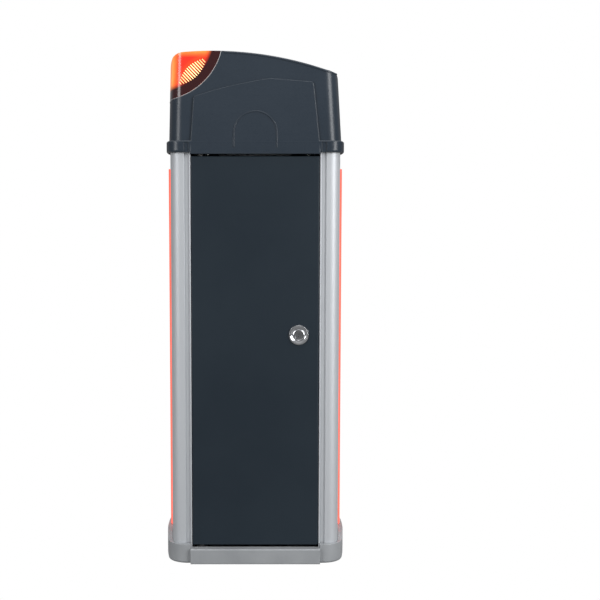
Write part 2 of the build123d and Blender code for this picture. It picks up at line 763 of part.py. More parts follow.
def output_gear():
    face = Pos(0, shaft_z) * (gear_face(output_module, output_teeth, cluster_angle) - Circle(shaft_radius))
    gear = along_y(face, *output_y)
    web = Pos(0, shaft_z) * (Circle(output_pitch - 9) - Circle(shaft_radius + 12))
    gear -= [along_y(web, output_y[0] - 1, output_y[0] + 3), along_y(web, output_y[1] - 3, output_y[1] + 1)]
    for k in range(6):
        hole = Pos(0, shaft_z) * Rot(0, 0, 60 * k) * Pos(43, 0) * Circle(9)
        gear -= along_y(hole, output_y[0] - 1, output_y[1] + 1)
    return gear - keyway(output_y[0] - 1, output_y[1] + 1)


def keyway(y0, y1):
    return block(-key_half, key_half, y0, y1, shaft_z + shaft_radius - key_proud,
                 shaft_z + shaft_radius + key_proud)


def cluster_gear():
    small = gear_face(output_module, pinion_teeth, cluster_angle + 180 + 180 / pinion_teeth)
    large = gear_face(first_module, wheel_teeth, pinion_angle)
    gear = along_y(Pos(cluster_x, cluster_z) * large, *wheel_y)
    gear += along_y(Pos(cluster_x, cluster_z) * small, wheel_y[1], output_y[1])
    gear += rod_y(axle_radius, cluster_x, cluster_z, gearbox_front - 5, gearbox_rear - 4)
    return gear + rod_y(axle_radius + 4, cluster_x, cluster_z, gearbox_front + 0.5, gearbox_rear - 9.5)


def motor_pinion():
    face = gear_face(first_module, pinion_teeth, pinion_angle + 180 + 180 / pinion_teeth)
    gear = along_y(Pos(pinion_x, pinion_z) * face, *wheel_y)
    return gear + rod_y(motor_shaft_radius, pinion_x, pinion_z, cover_front - 36, wheel_y[1] + 1)


# ---- Gearbox ----
def around_gears(extra):
    """Outline round the output gear, the cluster gear and the pinion, with room to spare."""
    tips = [(0, shaft_z, output_pitch + output_module), (cluster_x, cluster_z, wheel_pitch + first_module),
            (pinion_x, pinion_z, pinion_pitch + first_module)]
    outline = Sketch()
    for x, z, r in tips:
        outline += Pos(x, z) * Circle(r + extra)
    for (xa, za, ra), (xb, zb, rb) in zip(tips, tips[1:] + tips[:1]):
        outline += belt(xa, za, ra + extra, xb, zb, rb + extra)
    return outline


def belt(xa, za, ra, xb, zb, rb):
    """The four-sided area between the outer tangent lines of two circles, the first the larger."""
    dx, dz = xb - xa, zb - za
    gap = (dx * dx + dz * dz) ** 0.5
    spread = acos((ra - rb) / gap)
    line = Vector(dx, dz).get_signed_angle(Vector(1, 0)) * -1
    corners = []
    for turn in (1, -1):
        a = radians(line) + turn * spread
        corners.append(((xa + ra * cos(a), za + ra * sin(a)), (xb + rb * cos(a), zb + rb * sin(a))))
    (p, q), (s, t) = corners
    return make_face(Polyline(p, q, t, s, close=True))


def gearbox_bolt_places():
    """Points on the gearbox rim, round the output gear and round the cluster gear."""
    rim = gear_clearance + gearbox_wall / 2
    places = []
    for angle in (125, 175, 225, 270, 305):
        r = output_pitch + output_module + rim
        places.append((r * cos(radians(angle)), shaft_z + r * sin(radians(angle))))
    for angle in (-50, 5, 60):
        r = wheel_pitch + first_module + rim
        places.append((cluster_x + r * cos(radians(angle)), cluster_z + r * sin(radians(angle))))
    return places


def gearbox_housing():
    outer = around_gears(gear_clearance + gearbox_wall)
    inner = around_gears(gear_clearance)
    house = along_y(outer, gearbox_front, gearbox_rear)
    for x, y0, x1 in ((-116, -18, -60), (60, -18, 128)):
        house += block(x, x1, -18, gearbox_rear - 2, plate_top, plate_top + foot_thick)
    house += block(lever_half + 16, lever_half + 40, gearbox_rear - 3, stop_y + 8, shaft_z + 30, shaft_z + 42)
    house += block(-44, -32, gearbox_rear - 3, stop_y + 8, shaft_z - 54, shaft_z - 30)
    house -= along_y(inner, gearbox_front - 1, gearbox_rear - gearbox_wall)
    house -= rod_y(bearing_outer, 0, shaft_z, gearbox_rear - bearing_width, gearbox_rear + 1)
    house -= rod_y(shaft_radius + 2, 0, shaft_z, gearbox_front, gearbox_rear)
    house -= rod_y(axle_radius + running_clearance, cluster_x, cluster_z, gearbox_front, gearbox_rear - 3)
    house += rod_y(bearing_outer + 5, 0, shaft_z, gearbox_rear - bearing_width, gearbox_rear) - rod_y(
        bearing_outer, 0, shaft_z, gearbox_rear - bearing_width - 1, gearbox_rear + 1)
    house -= rod_z(port_radius, lever_half + 28, stop_y, shaft_z + 10, shaft_z + 50)
    house -= rod_x(port_radius, stop_y, shaft_z - lever_half - 28, -50, -20)
    for x, y in foot_bolts:
        house -= rod_z(port_radius, x, y, plate_top - 1, plate_top + 40)
        house -= rod_z(9, x, y, plate_top + foot_thick, plate_top + 30)
    for x, z in gearbox_bolt_places():
        house -= rod_y(small_screw_hole, x, z, gearbox_front - 1, gearbox_front + 14)
    return house


def gearbox_cover():
    cover = along_y(around_gears(gear_clearance + gearbox_wall), cover_front, gearbox_front)
    cover = fillet(cover.faces().sort_by(Axis.Y)[0].edges(), 1.5)
    cover -= rod_y(bearing_outer, 0, shaft_z, cover_front - 1, gearbox_front + 1)
    cover += rod_y(bearing_outer + 5, 0, shaft_z, cover_front - 4, gearbox_front) - rod_y(
        bearing_outer, 0, shaft_z, cover_front - 5, gearbox_front + 1)
    cover -= rod_y(axle_radius + running_clearance, cluster_x, cluster_z, gearbox_front - 6, gearbox_front + 1)
    cover -= rod_y(motor_shaft_radius + 3, pinion_x, pinion_z, cover_front - 1, gearbox_front + 1)
    for x, z in gearbox_bolt_places() + motor_bolt_places():
        cover -= rod_y(small_screw_hole, x, z, cover_front - 1, gearbox_front + 1)
    return cover


def motor_bolt_places():
    return [(pinion_x + motor_bolt_circle * dx, pinion_z + motor_bolt_circle * dz) for dx, dz in ((1, 0), (-1, 0), (0, 1), (0, -1))]


def cap_screw(length):
    """Socket head above z = 0 and a shank below it."""
    head = rod_z(cap_head_radius, 0, 0, 0, 5) - extrude(Pos(0, 0, 2.2) * RegularPolygon(2, 6, major_radius=False), 4)
    return head + rod_z(small_screw_radius, 0, 0, -length, 0)


def gearbox_bolts():
    bolts = [Pos(x, cover_front, z) * Rot(90, 0, 0) * cap_screw(18) for x, z in gearbox_bolt_places()]
    bolts += [Pos(x, cover_front - 6, z) * Rot(90, 0, 0) * cap_screw(12) for x, z in motor_bolt_places()]
    return bolts


def shaft_bearings():
    """Shielded ball bearings: a ring with a shallow shield on each face."""
    bearings = []
    for y in (cover_front - 4, gearbox_rear - bearing_width, block_rear - 4 - bearing_width):
        ring = Circle(bearing_outer) - Circle(shaft_radius + running_clearance)
        bearing = along_y(Pos(0, shaft_z) * ring, y, y + bearing_width)
        shield = Pos(0, shaft_z) * (Circle(bearing_outer - 3) - Circle(shaft_radius + 3))
        bearings.append(bearing - along_y(shield, y - 1, y + 0.6)
                        - along_y(shield, y + bearing_width - 0.6, y + bearing_width + 1))
    return bearings


def motor_body():
    motor = rod_y(motor_radius, pinion_x, pinion_z, motor_rear + 14, cover_front - 5)
    flange = rod_y(motor_radius + 10, pinion_x, pinion_z, cover_front - 6, cover_front)
    for x, z in motor_bolt_places():
        flange -= rod_y(small_screw_hole, x, z, cover_front - 7, cover_front + 1)
        motor -= rod_y(cap_head_radius + 0.4, x, z, cover_front - 14, cover_front - 6)
    motor += flange
    for k in range(10):
        rib = Pos(pinion_x, pinion_z) * Rot(0, 0, 36 * k + 18) * Pos(motor_radius, 0) * Rectangle(4, 3)
        motor += along_y(rib, motor_rear + 18, cover_front - 18)
    motor -= rod_y(bearing_outer + 5.5, 0, shaft_z, cover_front - 7, cover_front + 1)
    return motor - rod_y(motor_shaft_radius + running_clearance, pinion_x, pinion_z, cover_front - 38, cover_front + 1)


def motor_endcap():
    cap = rod_y(motor_radius, pinion_x, pinion_z, motor_rear, motor_rear + 14)
    cap = fillet(cap.faces().sort_by(Axis.Y)[0].edges(), 4)
    return cap + rod_x(5, motor_rear + 8, pinion_z, pinion_x + motor_radius - 4, pinion_x + motor_radius + 6)


def bearing_block():
    outline = Pos(0, shaft_z) * Circle(block_half) + area(-block_half, block_half, plate_top, shaft_z)
    outline &= area(-block_half, block_half, plate_top, shaft_z + block_half)
    pedestal = along_y(outline, block_front, block_rear)
    pedestal += block(-64, 64, block_front, block_front + 14, plate_top, plate_top + foot_thick)
    pedestal -= rod_y(bearing_outer, 0, shaft_z, block_rear - 4 - bearing_width, block_rear + 1)
    pedestal -= rod_y(shaft_radius + 3, 0, shaft_z, block_front - 1, block_rear + 1)
    for x, y in block_bolts:
        pedestal -= rod_z(port_radius, x, y, plate_top - 1, plate_top + 20)
    for x, z in arch_screws:
        pedestal -= rod_y(small_screw_hole, x, z, block_rear - 8, block_rear + 1)
    return pedestal


def arch_outline(half, low):
    """Opening about the shaft: a half circle over straight sides."""
    top = Pos(0, shaft_z) * Circle(half) & area(-half, half, shaft_z, shaft_z + half)
    return top + area(-half, half, low, shaft_z)


def rear_arch_plate():
    """Plate that fills the hood's rear arch and stays behind when the hood is lifted."""
    half = arch_half_width - 0.8
    plate = along_y(arch_outline(half, hood_bottom + 2), block_rear, arch_rear)
    plate -= rod_y(shaft_radius + 1, 0, shaft_z, block_rear - 1, arch_rear + 1)
    for x, z in arch_screws:
        plate -= rod_y(small_screw_hole, x, z, block_rear - 1, arch_rear + 1)
    return plate


# ---- Shaft ----
def drive_shaft():
    shaft = rod_y(shaft_radius, 0, shaft_z, shaft_front_y, shaft_rear_y)
    shaft = chamfer(shaft.edges().filter_by(GeomType.CIRCLE), 1)
    for y0, y1 in key_spans:
        shaft -= keyway(y0, y1)
    return shaft


def shaft_keys():
    return [keyway(y0 + 0.2, y1 - 0.2) for y0, y1 in key_spans]


def spring_lever():
    """Forged arm, keyed to the shaft, with an eye for the spring's pin."""
    hub = shaft_radius + 10
    outline = Circle(hub) + Pos(lever_radius, 0) * Circle(lever_half - 1)
    outline += make_face(Polyline((0, hub), (lever_radius, lever_half - 1), (lever_radius, -lever_half + 1),
                                  (0, -hub), close=True))
    outline -= Circle(shaft_radius) + Pos(lever_radius, 0) * Circle(lever_pin_radius)
    arm = along_y(Pos(0, shaft_z) * outline, lever_front, lever_front + lever_thick)
    return arm - keyway(lever_front - 6, lever_front + lever_thick + 1)


def lever_pin():
    pin = rod_y(lever_pin_radius, lever_radius, shaft_z, lever_front, hook_y + 12)
    pin += rod_y(lever_pin_radius + 3, lever_radius, shaft_z, lever_front - 3, lever_front)
    return pin + rod_y(lever_pin_radius + 2.5, lever_radius, shaft_z, hook_y + 8, hook_y + 10)


def limit_cam():
    disc = Circle(shaft_radius + 7) - Circle(shaft_radius) - Pos(-shaft_radius - 7, 0) * Rectangle(6, 12)
    return along_y(Pos(0, shaft_z) * disc, shaft_front_y + 1, shaft_front_y + 8)


def boom_flange():
    """Round flange, keyed on the shaft's end, that the boom's clamp is bolted to."""
    flange = rod_y(flange_radius, 0, shaft_z, flange_front, flange_rear)
    flange += rod_y(shaft_radius + 9, 0, shaft_z, flange_front - 6, flange_front + 1)
    flange = fillet(flange.edges().filter_by(GeomType.CIRCLE).sort_by(Axis.Y)[-1:], 1.5)
    flange -= rod_y(shaft_radius, 0, shaft_z, flange_front - 16, shaft_rear_y + 8)
    for k in range(4):
        a = radians(45 + 90 * k)
        flange -= rod_y(flange_bolt_hole, flange_bolt_circle * cos(a), shaft_z + flange_bolt_circle * sin(a),
                        flange_front - 6, shaft_rear_y + 8)
    return flange - keyway(flange_front - 7, flange_rear - 1)


def end_stops():
    """Adjustable screws with rubber tips, in the gearbox lugs, that the lever meets at each end."""
    tip_gap = 0.5
    x = lever_half + 28
    edge = 17.9
    closed = rod_z(4, x, stop_y, shaft_z + edge + 8, shaft_z + 54)
    closed += rod_z(7, x, stop_y, shaft_z + edge + tip_gap, shaft_z + edge + 8)
    closed += Pos(x, stop_y, shaft_z + 42) * extrude(RegularPolygon(6.5, 6, major_radius=False), 5)
    opened = rod_x(4, stop_y, shaft_z - x, -56, -edge - 8)
    opened += rod_x(7, stop_y, shaft_z - x, -edge - 8, -edge - tip_gap)
    opened += Pos(-44, stop_y, shaft_z - x) * Rot(0, -90, 0) * extrude(RegularPolygon(6.5, 6, major_radius=False), 5)
    return [closed, opened]


def limit_switches():
    """Two small switches on the gearbox cover, with their rollers near the limit cam."""
    switches = []
    for z in (shaft_z + 16, shaft_z - 16):
        y0 = shaft_front_y + 0.5
        body = block(-62, -36, y0, y0 + 8, z - 7, z + 7)
        body += block(-58, -40, y0 + 7, cover_front, z - 5, z + 5)
        body += rod_y(3, -31, z - 3 if z > shaft_z else z + 3, y0 + 1, y0 + 7)
        body += block(-37, -31, y0 + 3, y0 + 5, z - 2, z + 2)
        switches.append(body)
    return switches


# ---- Balance spring ----
def wire_ring(x, y, z, radius, wire, turn):
    return Pos(x, y, z) * turn * Torus(radius, wire)


def balance_spring():
    """Tension spring: a body of close turns with a straight stem and a round hook at each end."""
    top = shaft_z - spring_stem
    bottom = shaft_z - spring_drop + spring_stem
    turns = round((top - bottom) / spring_pitch)
    pitch = (top - bottom) / turns
    inner = spring_coil_radius - spring_wire
    groove = spring_coil_radius + spring_wire / 2
    edges = []
    for k in range(turns):
        z = bottom + k * pitch
        crest = (spring_coil_radius + spring_wire, 0, z + pitch / 2)
        edges.append(ThreePointArc((groove, 0, z), crest, (groove, 0, z + pitch)))
    edges += [Line((groove, 0, top), (inner, 0, top)), Line((inner, 0, top), (inner, 0, bottom)),
              Line((inner, 0, bottom), (groove, 0, bottom))]
    spring = Pos(lever_radius, hook_y, 0) * revolve(make_face(Curve() + edges), Axis.Z)
    for z, way in ((bottom, -1), (top, 1)):
        ring_z = z + way * (spring_stem - 0.5 if way > 0 else spring_stem - 8)
        low, high = sorted((z, ring_z - way * hook_radius))
        spring += rod_z(spring_wire, lever_radius, hook_y, low, high)
        spring += rod_z(inner + 1, lever_radius, hook_y, *sorted((z, z - way * 2 * spring_wire)))
        spring += wire_ring(lever_radius, hook_y, ring_z, hook_radius, spring_wire, Rot(90, 0, 0))
    return spring


def spring_eyebolt():
    ring_z = shaft_z - spring_drop + 8
    eye_z = ring_z - 8 + spring_wire + 3 + fit_gap - 9
    bolt = wire_ring(lever_radius, hook_y, eye_z, 9, 3, Rot(0, 90, 0))
    bolt += rod_z(5, lever_radius, hook_y, crossbar_z - 30, eye_z - 9)
    nut = Pos(lever_radius, hook_y) * (RegularPolygon(8, 6, major_radius=False))
    return bolt + upright(nut, crossbar_z - 8, crossbar_z)


# ---- Hood ----
def lean(angle):
    return (hood_top - band_top) * tan(radians(angle))


def roof_arc_z(x, inset):
    r = roof_radius - inset
    return hood_top - roof_radius + (r * r - (x - roof_apex_x) ** 2) ** 0.5


def roof_profile(inset):
    """Front view of all that lies under the curved roof, with its left and right corners rounded."""
    left = -hood_half_width - hood_bulge + inset
    right = hood_half_width + hood_bulge - inset
    left_top = left + lean(lean_left)
    right_top = right - lean(lean_right)
    middle = (left_top + right_top) / 2
    outline = make_face(Curve() + [
        Line((left, form_bottom), (left_top, roof_arc_z(left_top, inset))),
        ThreePointArc((left_top, roof_arc_z(left_top, inset)), (middle, roof_arc_z(middle, inset)),
                      (right_top, roof_arc_z(right_top, inset))),
        Line((right_top, roof_arc_z(right_top, inset)), (right, form_bottom)),
        Line((right, form_bottom), (left, form_bottom)),
    ])
    corners = outline.vertices().sort_by(Axis.Y)[-2:].sort_by(Axis.X)
    outline = fillet(corners[0], roof_left_corner - inset)
    corner = outline.vertices().sort_by(Axis.X)
    sharp = max((v for v in corner if v.X > 0), key=lambda v: v.Y)
    return fillet(sharp, roof_right_corner - inset)


def hood_form(inset):
    """The hood above its band: leaning sides under the curved roof."""
    low = bowed_plan(hood_half_width - inset, hood_half_depth - inset, hood_bulge, hood_corner - inset)
    mid_lean = (lean(lean_left) - lean(lean_right)) / 2
    narrow = (lean(lean_left) + lean(lean_right)) / 2
    high = bowed_plan(hood_half_width - inset - narrow, hood_half_depth - inset - lean(lean_front), hood_bulge,
                      hood_corner - inset)
    form = loft([Pos(0, 0, form_bottom) * low, Pos(mid_lean, 0, hood_top) * high], ruled=True)
    return form & along_y(roof_profile(inset), -200, 200)


def lamp_zone(radius):
    """Round column, along the depth of the hood, that marks off the beacon's corner."""
    return rod_y(radius, lamp_centre_x, lamp_centre_z, -200, 200)


def front_face_plane(depth=0.0):
    """Plane of the leaning front face, moved out by depth, its x along the width and its y up the face."""
    back = sin(radians(lean_front))
    up = cos(radians(lean_front))
    foot = (0, -hood_half_depth - depth, form_bottom)
    return Plane(origin=foot, x_dir=(1, 0, 0), z_dir=(0, -up, back))


def panel_outline(inset):
    """The raised panel on the hood's front: upright sides under a rising, gently arched top edge."""
    left_low = (-panel_half_low + inset, hood_bottom - panel_drop - form_bottom + inset)
    left_high = (-panel_left_high + inset, panel_left_rise - inset)
    middle = (-50, panel_middle_rise - inset)
    knee = (30, panel_knee_rise - inset)
    right_high = (panel_right_high - inset, panel_right_rise - inset)
    right_low = (panel_half_low - inset, hood_bottom - panel_drop - form_bottom + inset)
    outline = make_face(Curve() + [
        Line(left_low, left_high),
        ThreePointArc(left_high, middle, knee),
        Line(knee, right_high),
        Line(right_high, right_low),
        Line(right_low, left_low),
    ])
    return fillet(outline.vertices().sort_by(Axis.Y)[2:], panel_corner)


def arch_line():
    """The raised outline of the blanked shaft opening in the front panel."""
    wide = arch_outline(arch_half_width + arch_rib / 2, arch_line_low)
    narrow = arch_outline(arch_half_width - arch_rib / 2, arch_line_low - 1)
    return Pos(0, -form_bottom) * (wide - narrow)


def hood_band(inset):
    return bowed_plan(hood_half_width + band_proud - inset, hood_half_depth + band_proud - inset,
                      hood_bulge + 1, hood_corner - inset)


def hood_shell():
    """Moulded cover: a band over the column tops, leaning walls and a curved roof, open below."""
    outer = hood_form(0)
    band = upright(hood_band(0), hood_bottom, band_top)
    band = fillet(band.faces().sort_by(Axis.Z)[0].edges(), 5)
    band = fillet(band.faces().sort_by(Axis.Z)[-1].edges(), 2.5)
    panel = extrude(front_face_plane(-hood_wall) * panel_outline(0), hood_wall + panel_proud)
    panel = fillet(panel.faces().sort_by(Axis.Y)[0].edges(), 1.2)
    panel += extrude(front_face_plane(panel_proud - 1) * arch_line(), 1 + arch_rib_high)
    inside = hood_form(hood_wall) + upright(hood_band(hood_wall), hood_bottom - panel_drop - 1, ledge_bottom)
    inside += extrude(front_face_plane(-hood_wall - 1) * panel_outline(hood_wall), panel_proud + 1)
    ledge_room = bowed_plan(hood_half_width - hood_wall - ledge_side, hood_half_depth - hood_wall - ledge_end,
                            hood_bulge, hood_corner - hood_wall)
    inside += upright(bowed_plan(hood_half_width - hood_wall, hood_half_depth - hood_wall,
                                 hood_bulge, hood_corner - hood_wall), ledge_bottom + ledge_thick, band_top)
    ledge = upright(hood_band(1), ledge_bottom, ledge_bottom + ledge_thick) - upright(ledge_room, 0, hood_top)
    shell = (outer + band + panel - inside - upright(ledge_room, ledge_bottom - 1, band_top)) + ledge
    groove_low = column_inner_x + groove_start
    for side in (-1, 1):
        low, high = sorted((side * groove_low, side * (groove_low + groove_width)))
        shell -= block(low, high, -200, -hood_half_depth - band_proud + 2, hood_bottom - 5, band_top - 3)
    shell -= along_y(arch_outline(arch_half_width, hood_bottom - 10), block_front - 8, hood_half_depth + 70)
    for x, y in hood_screw_places:
        shell -= rod_z(screw_radius + 0.4, x, y, hood_bottom, ledge_bottom + ledge_thick + 1)
    bulkhead = (lamp_zone(lamp_radius + hood_wall) - lamp_zone(lamp_radius)) & hood_form(hood_wall / 2)
    return (shell - lamp_zone(lamp_radius)) + bulkhead


def hood_gasket():
    """Foam strip between the mounting plate and the hood's ledge."""
    edge = body_half_width - plate_inset
    end = body_half_depth - plate_inset
    outer = bowed_plan(edge - 1, end - 1, body_bulge, body_corner - 5)
    ring = outer - bowed_plan(edge - 5, end - 5, body_bulge, body_corner - 9)
    gap = area(-block_half - 10, block_half + 10, block_front - 18, body_half_depth + 15)
    return upright(ring - gap, plate_top, ledge_bottom)


def lamp_shell(low_inset, high_inset, radius):
    return (hood_form(low_inset) - hood_form(high_inset)) & lamp_zone(radius)


def beacon_lens():
    """Red moulding that makes the hood's upper left corner, over the roof and the side."""
    return lamp_shell(0, hood_wall - 0.5, lamp_radius - lamp_gap)


def leaf_outline(grow):
    """Leaf shape between two arcs, along the lamp's diagonal."""
    ax, az = (leaf_low_x - grow, leaf_low_z - grow)
    bx, bz = (leaf_high_x + grow, leaf_high_z + grow)
    mx, mz = (ax + bx) / 2, (az + bz) / 2
    nx, nz = 0.6, -0.8
    wide = leaf_half_width + grow
    return make_face(Curve() + [ThreePointArc((ax, az), (mx + nx * wide, mz + nz * wide), (bx, bz)),
                                ThreePointArc((bx, bz), (mx - nx * wide, mz - nz * wide), (ax, az))])


def beacon_optic():
    """Ribbed leaf-shaped optic that stands close behind the lens, front and rear."""
    face_y = -hood_half_depth + hood_wall + lean(lean_front) + 2
    plate = along_y(leaf_outline(0), face_y, face_y + 3)
    length = ((leaf_high_x - leaf_low_x) ** 2 + (leaf_high_z - leaf_low_z) ** 2) ** 0.5
    count = int(length / optic_rib_pitch) - 1
    for k in range(1, count):
        t = k * optic_rib_pitch / length
        x = leaf_low_x + t * (leaf_high_x - leaf_low_x)
        z = leaf_low_z + t * (leaf_high_z - leaf_low_z)
        half = 4 * leaf_half_width * t * (1 - t)
        rib = Pos(x, z) * Rot(0, 0, -51) * Rectangle(2 * half, 1.6)
        plate -= along_y(rib, face_y - 1, face_y + 0.9)
    return [plate, flip_y(plate)]


def beacon_board():
    """Aluminium-backed LED board that lies on the hood's inner bulkhead."""
    radius = lamp_radius - lamp_gap
    arc = Pos(lamp_centre_x, lamp_centre_z) * (Circle(radius) - Circle(radius - 2))
    board = along_y(arc, -lamp_board_half, lamp_board_half) & hood_form(hood_wall + 2)
    for k in range(5):
        for y in (-80, -48, -16, 16, 48, 80):
            spot = Pos(lamp_centre_x, y, lamp_centre_z) * Rot(0, 62 - 10 * k, 0) * Pos(radius - 3, 0, 0)
            board += spot * Box(3, 5, 5)
    return board


# ---- Build ----
for front, word in ((True, "front"), (False, "rear")):
    save(f"column_{word}_left", column(front, True))
    save(f"column_{word}_right", column(front, False))
for name, make in (("light_channel", light_channel), ("light_lens", light_lens)):
    save(f"{name}_right", make())
    save(f"{name}_left", flip_x(make()))
for name, make in (("light_strips", light_strip), ("light_end_caps", light_end_cap)):
    save(name, make(), flip_x(make()))
for make in (base_plate, base_skirt, mounting_plate, rear_panel, spring_crossbar, equipment_panel, control_box,
             control_cover, control_board, transformer, terminal_rail, gearbox_housing, gearbox_cover, motor_body,
             motor_endcap, bearing_block, rear_arch_plate, spring_eyebolt, door_panel, lock_rosette, lock_barrel,
             lock_nut, lock_plug, lock_cam, drive_shaft, output_gear, spring_lever, lever_pin, limit_cam,
             boom_flange, cluster_gear, motor_pinion, balance_spring, hood_shell, hood_gasket, beacon_lens,
             beacon_board):
    save(make.__name__, make())
for make in (column_screws, frame_bolts, panel_screws, pivot_pins, pivot_washers, door_brackets, cable_glands,
             gearbox_bolts, shaft_bearings, shaft_keys, end_stops, limit_switches, beacon_optic):
    save(make.__name__, *make())
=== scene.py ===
import math

import bpy
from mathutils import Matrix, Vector
from mathutils.bvhtree import BVHTree


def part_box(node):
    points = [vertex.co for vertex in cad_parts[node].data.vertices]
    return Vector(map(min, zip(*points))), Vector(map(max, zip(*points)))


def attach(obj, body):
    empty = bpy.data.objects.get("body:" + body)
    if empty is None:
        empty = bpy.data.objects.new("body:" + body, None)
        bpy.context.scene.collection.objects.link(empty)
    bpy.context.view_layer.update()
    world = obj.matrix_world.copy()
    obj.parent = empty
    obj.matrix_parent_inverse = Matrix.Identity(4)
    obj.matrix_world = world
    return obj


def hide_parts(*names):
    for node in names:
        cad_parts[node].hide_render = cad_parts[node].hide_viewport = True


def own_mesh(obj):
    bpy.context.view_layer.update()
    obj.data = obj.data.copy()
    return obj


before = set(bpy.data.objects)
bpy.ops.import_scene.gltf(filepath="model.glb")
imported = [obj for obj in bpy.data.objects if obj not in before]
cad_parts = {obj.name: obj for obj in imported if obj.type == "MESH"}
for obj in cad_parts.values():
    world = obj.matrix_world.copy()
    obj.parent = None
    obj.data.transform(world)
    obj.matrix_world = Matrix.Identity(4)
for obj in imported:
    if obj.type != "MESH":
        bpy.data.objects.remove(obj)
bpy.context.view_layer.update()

# ---- Studio -------------------------------------------------------------------------------------
# A white table that runs on for metres, a camera 2.6 m in front of the door, and two tall soft boxes,
# left and right of the camera, that draw upright highlights on every rounded corner. A third soft box
# hangs over the hood.
camera_data = bpy.data.cameras.new("camera")
camera = bpy.data.objects.new("camera", camera_data)
bpy.context.scene.collection.objects.link(camera)
bpy.context.scene.camera = camera
camera.location = (0.0, -2.62, 0.765)
camera.rotation_euler = (math.radians(90 - 5.6), 0, 0)
camera_data.sensor_width = 36.0
camera_data.lens = 73.5
camera_data.shift_x = 0.0745
camera_data.shift_y = 0.0225
bpy.context.scene.view_settings.view_transform = "Standard"


def soft_box(name, place, aim, width, height, power):
    lamp_data = bpy.data.lights.new(name, "AREA")
    lamp_data.shape = "RECTANGLE"
    lamp_data.size = width
    lamp_data.size_y = height
    lamp_data.energy = power
    lamp = bpy.data.objects.new(name, lamp_data)
    bpy.context.scene.collection.objects.link(lamp)
    lamp.location = place
    lamp.rotation_euler = (Vector(aim) - Vector(place)).to_track_quat("-Z", "Y").to_euler()


soft_box("box_left", (-1.75, -1.9, 1.25), (0, 0, 0.75), 0.9, 1.8, 28)
soft_box("box_right", (1.85, -1.8, 1.25), (0, 0, 0.75), 1.2, 1.8, 50)
soft_box("box_top", (0.1, 0.1, 2.7), (0, 0, 0.9), 1.8, 1.4, 24)


def feed(tree, value, socket):
    """Gives an input either another node's output or a plain value."""
    if isinstance(value, bpy.types.NodeSocket):
        tree.links.new(value, socket)
    else:
        socket.default_value = value


def maths(tree, operation, first, second=None):
    """A maths node of two numbers."""
    made = tree.nodes.new("ShaderNodeMath")
    made.operation = operation
    feed(tree, first, made.inputs[0])
    if second is not None:
        feed(tree, second, made.inputs[1])
    return made.outputs["Value"]


def vector_maths(tree, operation, first, second=None):
    """A maths node of two vectors, giving a number for a length or a dot product."""
    made = tree.nodes.new("ShaderNodeVectorMath")
    made.operation = operation
    feed(tree, first, made.inputs[0])
    if second is not None:
        feed(tree, second, made.inputs[1])
    return made.outputs["Value" if operation in ("LENGTH", "DOT_PRODUCT") else "Vector"]


def spot_on_piece(tree):
    """The place on the piece, in metres from the object's origin."""
    return tree.nodes.new("ShaderNodeTexCoord").outputs["Object"]


def in_parts(tree, vector):
    """A vector's X, Y and Z."""
    made = tree.nodes.new("ShaderNodeSeparateXYZ")
    feed(tree, vector, made.inputs["Vector"])
    return made.outputs


def between(tree, value, first, second, start=0.0, end=1.0):
    """A colour that runs from the first tone to the second as a value runs from start to end."""
    made = tree.nodes.new("ShaderNodeValToRGB")
    feed(tree, value, made.inputs["Fac"])
    low, high = made.color_ramp.elements
    low.position, low.color = start, (*first, 1)
    high.position, high.color = end, (*second, 1)
    return made.outputs["Color"]


def either(tree, factor, first, second):
    """Two shaders mixed by a factor."""
    made = tree.nodes.new("ShaderNodeMixShader")
    for number, value in enumerate((factor, first, second)):
        feed(tree, value, made.inputs[number])
    return made.outputs["Shader"]


def new_material(name, **settings):
    """A material with its shader's plain sockets set. Gives the material, its tree and its shader."""
    material = bpy.data.materials.new(name)
    material.use_nodes = True
    shader = material.node_tree.nodes["Principled BSDF"]
    for socket, value in settings.items():
        shader.inputs[socket.replace("_", " ")].default_value = value
    return material, material.node_tree, shader


# The room is white where the camera looks past the table, and dim where the object mirrors it.
world = bpy.data.worlds.new("studio_air")
bpy.context.scene.world = world
world.use_nodes = True
air = world.node_tree
white_room = air.nodes["Background"]
white_room.inputs["Color"].default_value = (1, 1, 1, 1)
dim_room = air.nodes.new("ShaderNodeBackground")
heading = in_parts(air, air.nodes.new("ShaderNodeTexCoord").outputs["Generated"])
gradient = between(air, heading["Z"], (0.07, 0.07, 0.075), (1.0, 1.0, 1.0), end=0.9)
feed(air, gradient, dim_room.inputs["Color"])
seen = air.nodes.new("ShaderNodeLightPath").outputs["Is Camera Ray"]
room = either(air, seen, dim_room.outputs["Background"], white_room.outputs["Background"])
feed(air, room, air.nodes["World Output"].inputs["Surface"])

# The table looks white to the camera but throws little light up, and it stays dark under the cabinet.
bpy.ops.object.select_all(action="DESELECT")
bpy.ops.mesh.primitive_circle_add(vertices=64, radius=40.0, fill_type="NGON", location=(0, 0, -0.0005))
table_top = bpy.context.object
table_top.name = "table_top"
bpy.ops.object.transform_apply(location=True, rotation=True, scale=True)
table_paint, tree, shader = new_material("table_paint", Base_Color=(0.22, 0.22, 0.22, 1), Roughness=0.7,
                                         Specular_IOR_Level=0.2)
dark_radius = 0.12
reach = vector_maths(tree, "LENGTH", spot_on_piece(tree))
open_table = maths(tree, "GREATER_THAN", reach, dark_radius)
seen = tree.nodes.new("ShaderNodeLightPath").outputs["Is Camera Ray"]
white = tree.nodes.new("ShaderNodeEmission").outputs["Emission"]
top = either(tree, maths(tree, "MULTIPLY", open_table, seen), shader.outputs["BSDF"], white)
feed(tree, top, tree.nodes["Material Output"].inputs["Surface"])
table_top.data.materials.append(table_paint)


